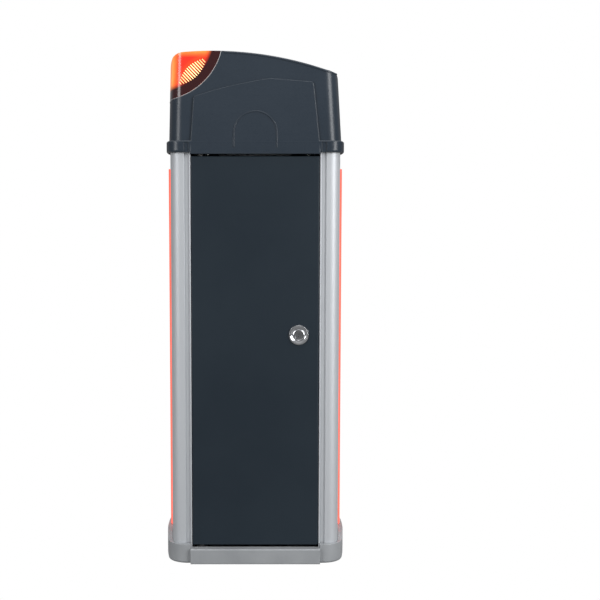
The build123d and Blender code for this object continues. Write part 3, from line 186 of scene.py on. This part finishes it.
# ---- Base plate ---------------------------------------------------------------------------------
# Laser-cut steel foot, 8 mm thick and hot-dip galvanised, with the holes for the anchors, the cable
# opening and the countersunk screws that hold the columns.
def spread(tree, value, low, high, to_low=0.0, to_high=1.0):
    """Stretches the span from low to high over another span, and stops at its ends."""
    made = tree.nodes.new("ShaderNodeMapRange")
    feed(tree, value, made.inputs["Value"])
    for name, number in (("From Min", low), ("From Max", high), ("To Min", to_low), ("To Max", to_high)):
        made.inputs[name].default_value = number
    return made.outputs["Result"]


def noise(tree, place, scale, detail=2.0):
    made = tree.nodes.new("ShaderNodeTexNoise")
    made.inputs["Scale"].default_value = scale
    made.inputs["Detail"].default_value = detail
    feed(tree, place, made.inputs["Vector"])
    return made.outputs["Fac"]


def mixed(tree, factor, first, second):
    """Two colours mixed by a factor."""
    made = tree.nodes.new("ShaderNodeMix")
    made.data_type = "RGBA"
    for number, value in ((0, factor), (6, first), (7, second)):
        feed(tree, value, made.inputs[number])
    return made.outputs[2]


def surface(name, tone, other_tone, roughness, metallic=0.0, patch=6.0, grain=400.0, depth=0.0002,
            stretch=(1, 1, 1), rough_spread=0.1, coat=0.0, edge=0.0006, wear=0.0, wear_tone=(0.6, 0.6, 0.6),
            cells=0.0, sheen=0.5):
    """A finish whose colour wanders between two tones, with fine grain, softened and rubbed edges."""
    material, tree, shader = new_material(name, Metallic=metallic, Specular_IOR_Level=sheen,
                                          Coat_Weight=coat, Coat_Roughness=0.2)
    mapping = tree.nodes.new("ShaderNodeMapping")
    mapping.inputs["Scale"].default_value = stretch
    feed(tree, spot_on_piece(tree), mapping.inputs["Vector"])
    place = mapping.outputs["Vector"]
    if cells:
        crystal = tree.nodes.new("ShaderNodeTexVoronoi")
        crystal.inputs["Scale"].default_value = cells
        feed(tree, place, crystal.inputs["Vector"])
        colour = between(tree, crystal.outputs["Color"], tone, other_tone)
    else:
        colour = between(tree, noise(tree, place, patch, 5.0), tone, other_tone, 0.35, 0.65)
    fine = noise(tree, place, grain, 3.0)
    smoothest, roughest = max(0.02, roughness - rough_spread), min(1.0, roughness + rough_spread)
    feed(tree, spread(tree, fine, 0.3, 0.7, smoothest, roughest), shader.inputs["Roughness"])
    soft_edge = tree.nodes.new("ShaderNodeBevel")
    soft_edge.samples = 6
    soft_edge.inputs["Radius"].default_value = edge
    bump = tree.nodes.new("ShaderNodeBump")
    bump.inputs["Strength"].default_value = 0.6
    bump.inputs["Distance"].default_value = depth
    feed(tree, fine, bump.inputs["Height"])
    feed(tree, soft_edge.outputs["Normal"], bump.inputs["Normal"])
    feed(tree, bump.outputs["Normal"], shader.inputs["Normal"])
    if wear:
        flat = tree.nodes.new("ShaderNodeNewGeometry").outputs["Normal"]
        turn = vector_maths(tree, "DOT_PRODUCT", soft_edge.outputs["Normal"], flat)
        colour = mixed(tree, spread(tree, turn, 0.97, 0.80, to_high=wear), colour, (*wear_tone, 1))
    feed(tree, colour, shader.inputs["Base Color"])
    return material


def dress(material, *names):
    """Gives CAD nodes their finish."""
    for name in names:
        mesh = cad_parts[name].data
        mesh.materials.clear()
        mesh.materials.append(material)


zinc = surface("hot_dip_zinc", (0.32, 0.34, 0.36), (0.47, 0.49, 0.51), 0.50, metallic=0.8, cells=85.0,
               grain=260.0, depth=0.00012, rough_spread=0.14)
dress(zinc, "base_plate")

# ---- Base skirt ---------------------------------------------------------------------------------
# Cast aluminium ring round the foot of the cabinet, powder coated mid grey, with a raised lip under
# the door and wings that climb the two sides. Small screws hold its lugs to the base plate.
base_paint = surface("base_paint", (0.31, 0.325, 0.34), (0.36, 0.375, 0.39), 0.40, metallic=0.25, patch=14.0,
                     grain=1100.0, depth=0.00025, edge=0.0012, wear=0.35, wear_tone=(0.42, 0.43, 0.44))
dress(base_paint, "base_skirt")

# ---- Columns ------------------------------------------------------------------------------------
# Four hollow aluminium extrusions stand in the corners. They are satin anodised, with the fine
# upright draw marks that an extrusion die leaves, and carry the whole cabinet.
satin_aluminium = surface("satin_aluminium", (0.47, 0.49, 0.515), (0.50, 0.52, 0.545), 0.50, metallic=0.35,
                          patch=9.0, grain=1500.0, depth=0.00003, stretch=(1, 1, 0.015), rough_spread=0.05,
                          edge=0.0008)
dress(satin_aluminium, "column_front_left", "column_front_right", "column_rear_left", "column_rear_right")

# ---- Side lights --------------------------------------------------------------------------------
# One satin anodised extrusion in the middle of each side, with a stepped pocket. A white circuit
# strip with red chips lies in it behind a domed red lens, and a black plug closes it at the top.
dress(satin_aluminium, "light_channel_left", "light_channel_right")
plug_plastic = surface("black_plastic", (0.018, 0.018, 0.02), (0.03, 0.03, 0.032), 0.45, patch=30.0,
                       grain=1800.0, depth=0.0001, edge=0.0004)
dress(plug_plastic, "light_end_caps")


def past(tree, axis, limit):
    """1 on the part of a piece beyond a limit along X, Y or Z, 0 on the rest."""
    return maths(tree, "GREATER_THAN", in_parts(tree, spot_on_piece(tree))[axis], limit)


def short_of(tree, axis, limit):
    """1 on the part of a piece before a limit along X, Y or Z, 0 on the rest."""
    return maths(tree, "LESS_THAN", in_parts(tree, spot_on_piece(tree))[axis], limit)


def both_of(tree, first, second):
    """1 where both zones are 1."""
    return maths(tree, "MULTIPLY", first, second)


def paint_zone(material, zone, tone, other_tone=None, stripes=0.0):
    """Recolours one zone of a finish, mottled, or striped across Y."""
    tree = material.node_tree
    base = tree.nodes["Principled BSDF"].inputs["Base Color"]
    before = base.links[0].from_socket
    second_tone = other_tone or [0.75 * part for part in tone]
    if stripes:
        wave = tree.nodes.new("ShaderNodeTexWave")
        wave.bands_direction = "Y"
        wave.inputs["Scale"].default_value = stripes
        feed(tree, spot_on_piece(tree), wave.inputs["Vector"])
        pattern = wave.outputs["Fac"]
    else:
        pattern = noise(tree, spot_on_piece(tree), 60.0)
    feed(tree, mixed(tree, zone, before, between(tree, pattern, tone, second_tone)), base)


def lit_plastic(name, tone, glow, strength):
    """Clear coloured moulding with a light behind it, mottled as moulded optics are."""
    material, tree, shader = new_material(name, Base_Color=(*tone, 1), Roughness=0.18, Coat_Weight=0.6,
                                          Coat_Roughness=0.05, Emission_Strength=strength)
    dim = [0.7 * part for part in glow]
    mottled = between(tree, noise(tree, spot_on_piece(tree), 40.0), dim, glow)
    feed(tree, mottled, shader.inputs["Emission Color"])
    return material


strip_lacquer = surface("white_strip_lacquer", (0.62, 0.62, 0.60), (0.72, 0.72, 0.70), 0.4, patch=50.0,
                        edge=0.0002)
strip_face = 0.1658
chip_red = (0.8, 0.05, 0.03)
paint_zone(strip_lacquer, past(strip_lacquer.node_tree, "X", strip_face), chip_red)
paint_zone(strip_lacquer, short_of(strip_lacquer.node_tree, "X", -strip_face), chip_red)
dress(strip_lacquer, "light_strips")
side_red = lit_plastic("side_light_red", (0.75, 0.04, 0.02), (1.0, 0.15, 0.10), 1.35)
dress(side_red, "light_lens_left", "light_lens_right")

# ---- Mounting plate -----------------------------------------------------------------------------
# Galvanised steel plate, 6 mm thick, screwed down on the four columns. The drive stands on it, and the
# spring, the gearbox sump and the wires pass through its openings.
dress(zinc, "mounting_plate")

# ---- Rear panel and arch plate ------------------------------------------------------------------
# Folded steel, powder coated anthracite with a fine grain. The panel closes the cabinet's back and has
# five vent slots; the small plate fills the arch that the hood leaves round the shaft.
panel_paint = surface("panel_paint", (0.008, 0.0155, 0.024), (0.0115, 0.020, 0.029), 0.42, patch=4.0,
                      grain=1400.0, depth=0.00012, rough_spread=0.06, edge=0.0008, sheen=0.35)
dress(panel_paint, "rear_panel", "rear_arch_plate")

# ---- Cross bar and equipment panel --------------------------------------------------------------
# Galvanised folded steel between the side columns: the bar holds the spring's eyebolt low down at the
# back, and the panel carries the electrical equipment behind the door.
dress(zinc, "spring_crossbar", "equipment_panel")

# ---- Control box --------------------------------------------------------------------------------
# Pale grey ABS box with a domed cover, three nylon cable glands below, and the gate's circuit board
# inside: green lacquer, blue relays, a finned heat sink, black chips and pale terminal blocks.
box_plastic = surface("box_plastic", (0.52, 0.53, 0.52), (0.57, 0.58, 0.57), 0.5, patch=12.0, grain=900.0,
                      depth=0.00015, edge=0.0008)
dress(box_plastic, "control_box", "control_cover")
gland_nylon = surface("gland_nylon", (0.03, 0.03, 0.033), (0.05, 0.05, 0.053), 0.4, patch=60.0,
                      grain=1500.0, depth=0.0001)
dress(gland_nylon, "cable_glands")
board_low, board_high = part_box("control_board")
board_face = board_high.y - 0.0017
chip_height = 0.0031
relay_row = board_high.z - 0.045
terminal_row = board_low.z + 0.018
board = surface("board_lacquer", (0.008, 0.09, 0.03), (0.012, 0.13, 0.045), 0.3, patch=90.0, grain=600.0,
                depth=0.00005, edge=0.0002)
tree = board.node_tree
on_board = short_of(tree, "Y", board_face)
low_on_board = both_of(tree, short_of(tree, "Y", board_face - 0.0001),
                       past(tree, "Y", board_face - chip_height))
paint_zone(board, on_board, (0.25, 0.26, 0.27), (0.45, 0.46, 0.47))
paint_zone(board, both_of(tree, on_board, past(tree, "Z", relay_row)), (0.02, 0.05, 0.22), (0.03, 0.08, 0.3))
paint_zone(board, both_of(tree, on_board, short_of(tree, "Z", terminal_row)), (0.16, 0.42, 0.2),
           (0.2, 0.5, 0.25))
paint_zone(board, low_on_board, (0.015, 0.015, 0.017))
dress(board, "control_board")

# ---- Transformer and terminals ------------------------------------------------------------------
# A laminated core with varnished copper windings, and beside it a zinc rail with a breaker and a row
# of grey terminals. Both are screwed to the equipment panel.
core_low, core_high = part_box("transformer")
winding = 0.0105
tape_depth = 0.0101
core_steel = surface("laminated_core", (0.10, 0.10, 0.11), (0.17, 0.17, 0.18), 0.42, metallic=0.7,
                     patch=200.0, grain=800.0, stretch=(0.1, 6, 0.1), edge=0.0004)
tree = core_steel.node_tree
for end in (short_of(tree, "Z", core_low.z + winding), past(tree, "Z", core_high.z - winding)):
    paint_zone(core_steel, end, (0.55, 0.17, 0.06), (0.3, 0.08, 0.03), stripes=180.0)
paint_zone(core_steel, short_of(tree, "Y", core_low.y + tape_depth), (0.62, 0.50, 0.16))
dress(core_steel, "transformer")
rail_low, rail_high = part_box("terminal_rail")
rail_depth = 0.0078
breaker_width = 0.0255
breaker_depth = 0.012
terminal_plastic = surface("terminal_plastic", (0.40, 0.41, 0.41), (0.46, 0.47, 0.47), 0.45, patch=40.0,
                           edge=0.0005)
tree = terminal_plastic.node_tree
breaker = both_of(tree, short_of(tree, "X", rail_low.x + breaker_width),
                  short_of(tree, "Y", rail_low.y + breaker_depth))
paint_zone(terminal_plastic, past(tree, "Y", rail_high.y - rail_depth), (0.6, 0.6, 0.58))
paint_zone(terminal_plastic, breaker, (0.05, 0.05, 0.055))
dress(terminal_plastic, "terminal_rail")

# ---- Gearbox ------------------------------------------------------------------------------------
# Sand-cast aluminium housing and cover, left as cast and sealed grey, on two feet. Inside run hardened
# steel gears, dark with oil, whose teeth shine where they mesh.
casting = surface("gearbox_casting", (0.30, 0.31, 0.32), (0.38, 0.39, 0.40), 0.52, metallic=0.55, patch=26.0,
                  grain=420.0, depth=0.0005, rough_spread=0.12, edge=0.0012, wear=0.4,
                  wear_tone=(0.55, 0.56, 0.57))
dress(casting, "gearbox_housing", "gearbox_cover", "bearing_block")
gear_steel = surface("gear_steel", (0.22, 0.22, 0.23), (0.32, 0.32, 0.33), 0.28, metallic=1.0, patch=45.0,
                     grain=1600.0, depth=0.00005, edge=0.0004, wear=0.7, wear_tone=(0.6, 0.6, 0.62))
dress(gear_steel, "cluster_gear", "motor_pinion", "output_gear")

# ---- Motor --------------------------------------------------------------------------------------
# Small ribbed motor, painted black, flanged to the gearbox cover, with a moulded cap at its far end.
# The cap and the two limit switches on the cover are black nylon.
motor_paint = surface("motor_paint", (0.02, 0.021, 0.023), (0.032, 0.033, 0.036), 0.36, patch=20.0,
                      grain=700.0, edge=0.0008, wear=0.25, wear_tone=(0.3, 0.3, 0.31), coat=0.2)
dress(motor_paint, "motor_body")
dress(gland_nylon, "motor_endcap", "limit_switches")

# ---- Shaft and lever ----------------------------------------------------------------------------
# Ground steel shaft in three shielded bearings. It carries the output gear, a forged lever that the
# spring pulls, the limit cam, and outside the cabinet the flange that a boom is bolted to.
ground_steel = surface("ground_steel", (0.52, 0.52, 0.53), (0.60, 0.60, 0.61), 0.22, metallic=1.0,
                       patch=30.0, grain=1800.0, depth=0.00003, stretch=(1, 12, 1), rough_spread=0.06,
                       edge=0.0005)
dress(ground_steel, "drive_shaft", "shaft_keys", "shaft_bearings", "lever_pin", "limit_cam")
forged_steel = surface("forged_steel", (0.07, 0.072, 0.078), (0.12, 0.122, 0.128), 0.5, metallic=0.9,
                       patch=22.0, grain=350.0, depth=0.0004, rough_spread=0.12, edge=0.0012, wear=0.5,
                       wear_tone=(0.35, 0.35, 0.36))
dress(forged_steel, "spring_lever")
flange_zinc = surface("flange_zinc", (0.50, 0.51, 0.53), (0.58, 0.59, 0.60), 0.32, metallic=0.95, patch=18.0,
                      grain=900.0, depth=0.00006, edge=0.0008)
dress(flange_zinc, "boom_flange", "spring_eyebolt")
stop_rubber = surface("stop_rubber", (0.02, 0.02, 0.02), (0.035, 0.034, 0.033), 0.75, patch=80.0,
                      grain=900.0, edge=0.0005, sheen=0.3)
dress(stop_rubber, "end_stops")

# ---- Balance spring -----------------------------------------------------------------------------
# Tension spring wound from 5 mm oiled steel wire in close turns, with a hook at each end: the upper
# one round the lever's pin, the lower one in the cross bar's eyebolt. It balances the boom.
spring_low, spring_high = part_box("balance_spring")
spring_middle = (spring_low + spring_high) / 2
wire_radius = 0.0025
hook_radius = 0.008
turn_pitch = 2.12 * wire_radius
coil_radius = (spring_high.x - spring_low.x) / 2 - wire_radius
lower_hook = spring_low.z + hook_radius + wire_radius
upper_hook = spring_high.z - hook_radius - wire_radius
lower_stem, upper_stem = 0.048, 0.0555
coil_low = lower_hook + lower_stem
coil_high = upper_hook - upper_stem
turns = int((coil_high - coil_low) / turn_pitch)
steps_per_turn = 20


def on_spring(sideways, z, forward=0.0):
    """A point beside the spring's middle line."""
    return spring_middle.x + sideways, spring_middle.y + forward, z


def hook(z, start, end, side):
    """An open ring of wire, in steps of 15 degrees from its lowest point."""
    angles = [math.radians(angle) for angle in range(start, end, 15)]
    return [on_spring(side * hook_radius * math.sin(angle), z - hook_radius * math.cos(angle))
            for angle in angles]


def winding_turns():
    """The close turns, from the lower end up."""
    steps = turns * steps_per_turn
    angles = [math.radians(360 / steps_per_turn * step) for step in range(steps + 1)]
    return [on_spring(coil_radius * math.cos(angle), coil_low + (coil_high - coil_low) * step / steps,
                      coil_radius * math.sin(angle)) for step, angle in enumerate(angles)]


def tube(name, points, radius, closed=False, sides=2):
    """A round wire bent along points, as a closed mesh."""
    line = bpy.data.curves.new(name, "CURVE")
    line.dimensions = "3D"
    line.bevel_depth = radius
    line.bevel_resolution = sides
    line.use_fill_caps = True
    run = line.splines.new("POLY")
    run.points.add(len(points) - 1)
    for knot, point in zip(run.points, points):
        knot.co = (*point, 1)
    run.use_cyclic_u = closed
    piece = bpy.data.objects.new(name, line)
    bpy.context.scene.collection.objects.link(piece)
    bpy.ops.object.select_all(action="DESELECT")
    bpy.context.view_layer.objects.active = piece
    piece.select_set(True)
    bpy.ops.object.convert(target="MESH")
    bpy.ops.object.shade_smooth()
    return bpy.context.object


bend_far, bend_near = 0.012, 0.004
bend_side = 0.4 * coil_radius
lower_bend = [on_spring(0, coil_low - bend_far), on_spring(bend_side, coil_low - bend_near)]
upper_bend = [on_spring(bend_side, coil_high + bend_near), on_spring(0, coil_high + bend_far)]
wire_path = hook(lower_hook, -150, 175, 1) + lower_bend + winding_turns() + upper_bend
wire_path += hook(upper_hook, 0, 330, -1)
coil = tube("spring_coil", wire_path, wire_radius)
spring_steel = surface("spring_steel", (0.10, 0.105, 0.12), (0.16, 0.165, 0.18), 0.3, metallic=1.0,
                       patch=60.0, grain=1200.0, depth=0.00004, edge=0.0003)
coil.data.materials.append(spring_steel)
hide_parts("balance_spring")
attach(coil, "spring")
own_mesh(coil)
dress(spring_steel, "balance_spring")

# ---- Door ---------------------------------------------------------------------------------------
# Folded steel tray with the same anthracite powder coat, hung on two upright steel pins at its left,
# with nylon washers, a bent strap under its lower pin and two steel tabs that it closes against.
dress(panel_paint, "door_panel")
black_oxide = surface("black_oxide", (0.015, 0.015, 0.017), (0.03, 0.03, 0.033), 0.4, metallic=0.8,
                      patch=60.0, edge=0.0004)
dress(black_oxide, "door_brackets", "pivot_pins")
dark_nylon = surface("dark_nylon", (0.012, 0.012, 0.013), (0.02, 0.02, 0.021), 0.5, patch=90.0, edge=0.0003)
dress(dark_nylon, "pivot_washers")

# ---- Lock ---------------------------------------------------------------------------------------
# Quarter-turn lock: a polished chrome rosette, dished round a turning plug with a keyhole, a zinc
# barrel and nut behind the door, and a plated tongue that reaches behind the right column.
lock_chrome = surface("lock_chrome", (0.42, 0.43, 0.45), (0.50, 0.51, 0.53), 0.14, metallic=1.0, patch=90.0,
                      grain=2500.0, depth=0.00002, rough_spread=0.04, edge=0.0004)
dress(lock_chrome, "lock_rosette", "lock_barrel", "lock_plug")
dress(flange_zinc, "lock_nut", "lock_cam")

# ---- Hood ---------------------------------------------------------------------------------------
# Moulded ABS cover over the drive, anthracite with a light grain, with a band over the column tops, a
# raised front panel and the outline of a second shaft opening. A rounded rim runs round its roof, and
# it sits on a foam strip.
hood_plastic = surface("hood_plastic", (0.018, 0.027, 0.039), (0.023, 0.033, 0.046), 0.30, patch=5.0,
                       grain=1600.0, depth=0.00012, rough_spread=0.06, edge=0.0012, sheen=0.45)
dress(hood_plastic, "hood_shell")
foam = surface("foam_strip", (0.02, 0.02, 0.021), (0.04, 0.04, 0.042), 0.9, patch=200.0, grain=1500.0,
               depth=0.0006, edge=0.0004, sheen=0.2)
dress(foam, "hood_gasket")


def skin_of(name):
    """A CAD node's surface, ready to be met by straight lines."""
    return BVHTree.FromObject(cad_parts[name], bpy.context.evaluated_depsgraph_get())


def meet(skin, start, way):
    """Where a straight line from start first meets a skin."""
    return skin.ray_cast(Vector(start), Vector(way))[0]


hood_skin = skin_of("hood_shell")
above_hood = 1.3
beside_hood = 0.4
rim_radius = 0.0026
rim_left, rim_right = -0.062, 0.140
rim_steps = 32
end_middle, end_turn = 0.10, 72
end_steps = 40


def roof_z(x):
    return meet(hood_skin, (x, 0.0, above_hood), (0, 0, -1)).z


def front_of_rim(x):
    """A point of the rim along the roof's front edge."""
    z = roof_z(x) - rim_radius
    return x, meet(hood_skin, (x, -beside_hood, z), (0, 1, 0)).y + 0.4 * rim_radius, z


def right_of_rim(angle):
    """A point of the rim round the roof's right end, found by three corrections of its height."""
    way = Vector((math.cos(angle), math.sin(angle), 0))
    z = 0.99
    for _ in range(4):
        spot = meet(hood_skin, Vector((end_middle, 0, z)) + beside_hood * way, -way)
        z = roof_z(min(spot.x - 0.004, 0.156)) - 1.2 * rim_radius
    return tuple(spot - 0.4 * rim_radius * way)


rim_front = [front_of_rim(rim_left + (rim_right - rim_left) * step / rim_steps)
             for step in range(rim_steps + 1)]
rim_end = [right_of_rim(math.radians(-end_turn + 2 * end_turn * step / end_steps))
           for step in range(1, end_steps)]
rim_rear = [(x, -y, z) for x, y, z in reversed(rim_front)]
bead = tube("roof_rim", rim_front + rim_end + rim_rear, rim_radius, sides=3)
bead.data.materials.append(hood_plastic)
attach(bead, "hood")

# ---- Beacon -------------------------------------------------------------------------------------
# The hood's upper left corner is a red moulding, its outer band painted near black as shade where the
# lamp inside doesn't reach. Behind it light-emitting chips on a curved aluminium board light a ribbed,
# leaf-shaped optic, front and rear. A pale seal closes the joint with the hood.
lamp_x, lamp_z = -0.195, 1.082
lamp_radius = 0.130
leaf_x, leaf_z = -0.1262, 1.0088
leaf_turn = math.radians(43.6)
leaf_half_length = 0.039
leaf_half_width = 0.0125
rib_pitch = 0.0050
rib_width, rib_height = 0.0019, 0.0014


def reach_from(tree, x, z):
    """The distance from a line that runs front to rear."""
    centred = vector_maths(tree, "SUBTRACT", spot_on_piece(tree), (x, 0, z))
    return vector_maths(tree, "LENGTH", vector_maths(tree, "MULTIPLY", centred, (1, 0, 1)))


def leaf_reach(tree):
    """0 in the middle of the leaf and 1 at its outline."""
    centred = vector_maths(tree, "SUBTRACT", spot_on_piece(tree), (leaf_x, 0, leaf_z))
    across_way = (-math.sin(leaf_turn), 0, math.cos(leaf_turn))
    along_way = (math.cos(leaf_turn), 0, math.sin(leaf_turn))
    made = tree.nodes.new("ShaderNodeCombineXYZ")
    for socket, way, half in (("X", along_way, leaf_half_length), ("Y", across_way, 1.15 * leaf_half_width)):
        share = vector_maths(tree, "DOT_PRODUCT", centred, [part / half for part in way])
        feed(tree, share, made.inputs[socket])
    return vector_maths(tree, "LENGTH", made.outputs["Vector"])


beacon_red, tree, shader = new_material("beacon_red", Roughness=0.26, Coat_Weight=0.6, Coat_Roughness=0.14)
# The lamp lights the lens inside lit_radius. Further out the lens fades to an outer band painted as shade.
lit_radius, shade_radius = 0.102, 0.113
lit_part = spread(tree, reach_from(tree, lamp_x, lamp_z), shade_radius, lit_radius)
facing = in_parts(tree, tree.nodes.new("ShaderNodeNewGeometry").outputs["Normal"])
outward = maths(tree, "MAXIMUM", facing["Z"], maths(tree, "MULTIPLY", facing["X"], -1))
bright_from, bright_to = 1.030, 1.050
near_roof = spread(tree, in_parts(tree, spot_on_piece(tree))["Z"], bright_from, bright_to)
edge_light = spread(tree, maths(tree, "MAXIMUM", outward, near_roof), 0.35, 0.95)
glow = mixed(tree, edge_light, (1.0, 0.022, 0.006, 1), (1.0, 0.36, 0.06, 1))
from_leaf = leaf_reach(tree)
glow = mixed(tree, spread(tree, from_leaf, 1.5, 0.5), glow, (1.0, 0.11, 0.012, 1))
feed(tree, glow, shader.inputs["Emission Color"])
mottle = spread(tree, noise(tree, spot_on_piece(tree), 45.0), 0.0, 1.0, 0.55, 1.5)
behind_leaf = spread(tree, from_leaf, 0.75, 1.05, to_low=0.12)
power = maths(tree, "MULTIPLY", maths(tree, "MULTIPLY", mottle, lit_part), behind_leaf)
feed(tree, power, shader.inputs["Emission Strength"])
# Painted shade: the lens's outer band, beyond the lamp's reach, gets a near-black red in place of the lens
# red.
lens_tone_painted_shade = mixed(tree, lit_part, (0.030, 0.0012, 0.002, 1), (0.55, 0.012, 0.006, 1))
feed(tree, lens_tone_painted_shade, shader.inputs["Base Color"])
dress(beacon_red, "beacon_lens")
dress(lit_plastic("clear_optic", (0.8, 0.75, 0.6), (1.0, 0.6, 0.25), 1.0), "beacon_optic")
dress(flange_zinc, "beacon_board")

leaf_glow, tree, shader = new_material("leaf_glow", Base_Color=(0.9, 0.5, 0.2, 1), Roughness=0.2)
from_middle = reach_from(tree, leaf_x, leaf_z)
heat = between(tree, spread(tree, from_middle, 0.0, leaf_half_length), (1.0, 0.80, 0.38), (1.0, 0.42, 0.16))
feed(tree, heat, shader.inputs["Emission Color"])
feed(tree, spread(tree, from_middle, 0.010, 0.030, 1.9, 1.0), shader.inputs["Emission Strength"])
lens_skin = skin_of("beacon_lens")
rib_count = int(2 * leaf_half_length / rib_pitch)
for word, side in (("front", -1), ("rear", 1)):
    ribs = []
    for step in range(1, rib_count):
        part = step * rib_pitch / (2 * leaf_half_length)
        along = (part - 0.5) * 2 * leaf_half_length
        rib_half = 4 * leaf_half_width * part * (1 - part)
        x = leaf_x + along * math.cos(leaf_turn)
        z = leaf_z + along * math.sin(leaf_turn)
        spot = meet(lens_skin, (x, side * beside_hood, z), (0, -side, 0))
        bpy.ops.object.select_all(action="DESELECT")
        bpy.ops.mesh.primitive_cylinder_add(vertices=12, radius=0.5, depth=1, location=(x, spot.y, z),
                                            rotation=(0, -leaf_turn, 0),
                                            scale=(rib_width, rib_height, 2 * rib_half))
        bpy.ops.object.transform_apply(location=True, rotation=True, scale=True)
        ribs.append(bpy.context.object)
    for rib in ribs:
        rib.select_set(True)
    bpy.context.view_layer.objects.active = ribs[0]
    bpy.ops.object.join()
    leaf = bpy.context.object
    leaf.name = "beacon_leaf_" + word
    bpy.ops.object.shade_smooth_by_angle(angle=math.radians(40))
    leaf.data.materials.clear()
    leaf.data.materials.append(leaf_glow)
    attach(leaf, "hood")

seal_radius = lamp_radius + 0.0006
seal_wire = 0.0007
roof_top = 1.0492
side_angle = 0.212
roof_angle = math.acos((lamp_z - roof_top) / seal_radius)
front_from = -0.09
seal_steps = 59
side_steps = 30
roof_steps = 10
seal_front = []
for step in range(seal_steps + 1):
    angle = roof_angle * (1 - step / seal_steps) + side_angle * step / seal_steps
    x = lamp_x + seal_radius * math.sin(angle)
    z = lamp_z - seal_radius * math.cos(angle)
    spot = meet(hood_skin, (x, -beside_hood, z), (0, 1, 0))
    if spot and spot.y < front_from:
        seal_front.append((x, spot.y, z))
seal_side = []
corner_y = seal_front[-1][1]
for step in range(1, side_steps):
    y = corner_y * (1 - 2 * step / side_steps)
    x = -0.175
    for _ in range(3):
        z = lamp_z - math.sqrt(seal_radius ** 2 - (x - lamp_x) ** 2)
        spot = meet(hood_skin, (-beside_hood, y, z), (1, 0, 0))
        x = spot.x
    seal_side.append((x, y, z))
seal_rear = [(x, -y, z) for x, y, z in reversed(seal_front)]
roof_x = lamp_x + math.sqrt(seal_radius ** 2 - (lamp_z - roof_top) ** 2)
seal_roof = [(roof_x, seal_rear[-1][1] * (1 - 2 * step / roof_steps), seal_front[0][2])
             for step in range(1, roof_steps)]
seal = tube("beacon_seal", seal_front + seal_side + seal_rear + seal_roof, seal_wire, closed=True)
seal_rubber = surface("seal_rubber", (0.30, 0.31, 0.32), (0.38, 0.39, 0.40), 0.35, patch=80.0, grain=900.0,
                      depth=0.00003, edge=0.0002)
seal.data.materials.append(seal_rubber)
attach(seal, "hood")

# ---- Fasteners ----------------------------------------------------------------------------------
# Zinc-plated screws and bolts, bright, with lighter rubbed edges.
# They hold the columns, panels, gearbox, motor, cross bar and hood.
fastener_zinc = surface("fastener_zinc", (0.50, 0.50, 0.48), (0.62, 0.62, 0.60), 0.28, metallic=0.95,
                        patch=120.0, grain=1500.0, depth=0.00005, edge=0.0005, wear=0.4,
                        wear_tone=(0.75, 0.75, 0.74))
dress(fastener_zinc, "column_screws", "panel_screws", "frame_bolts", "gearbox_bolts")
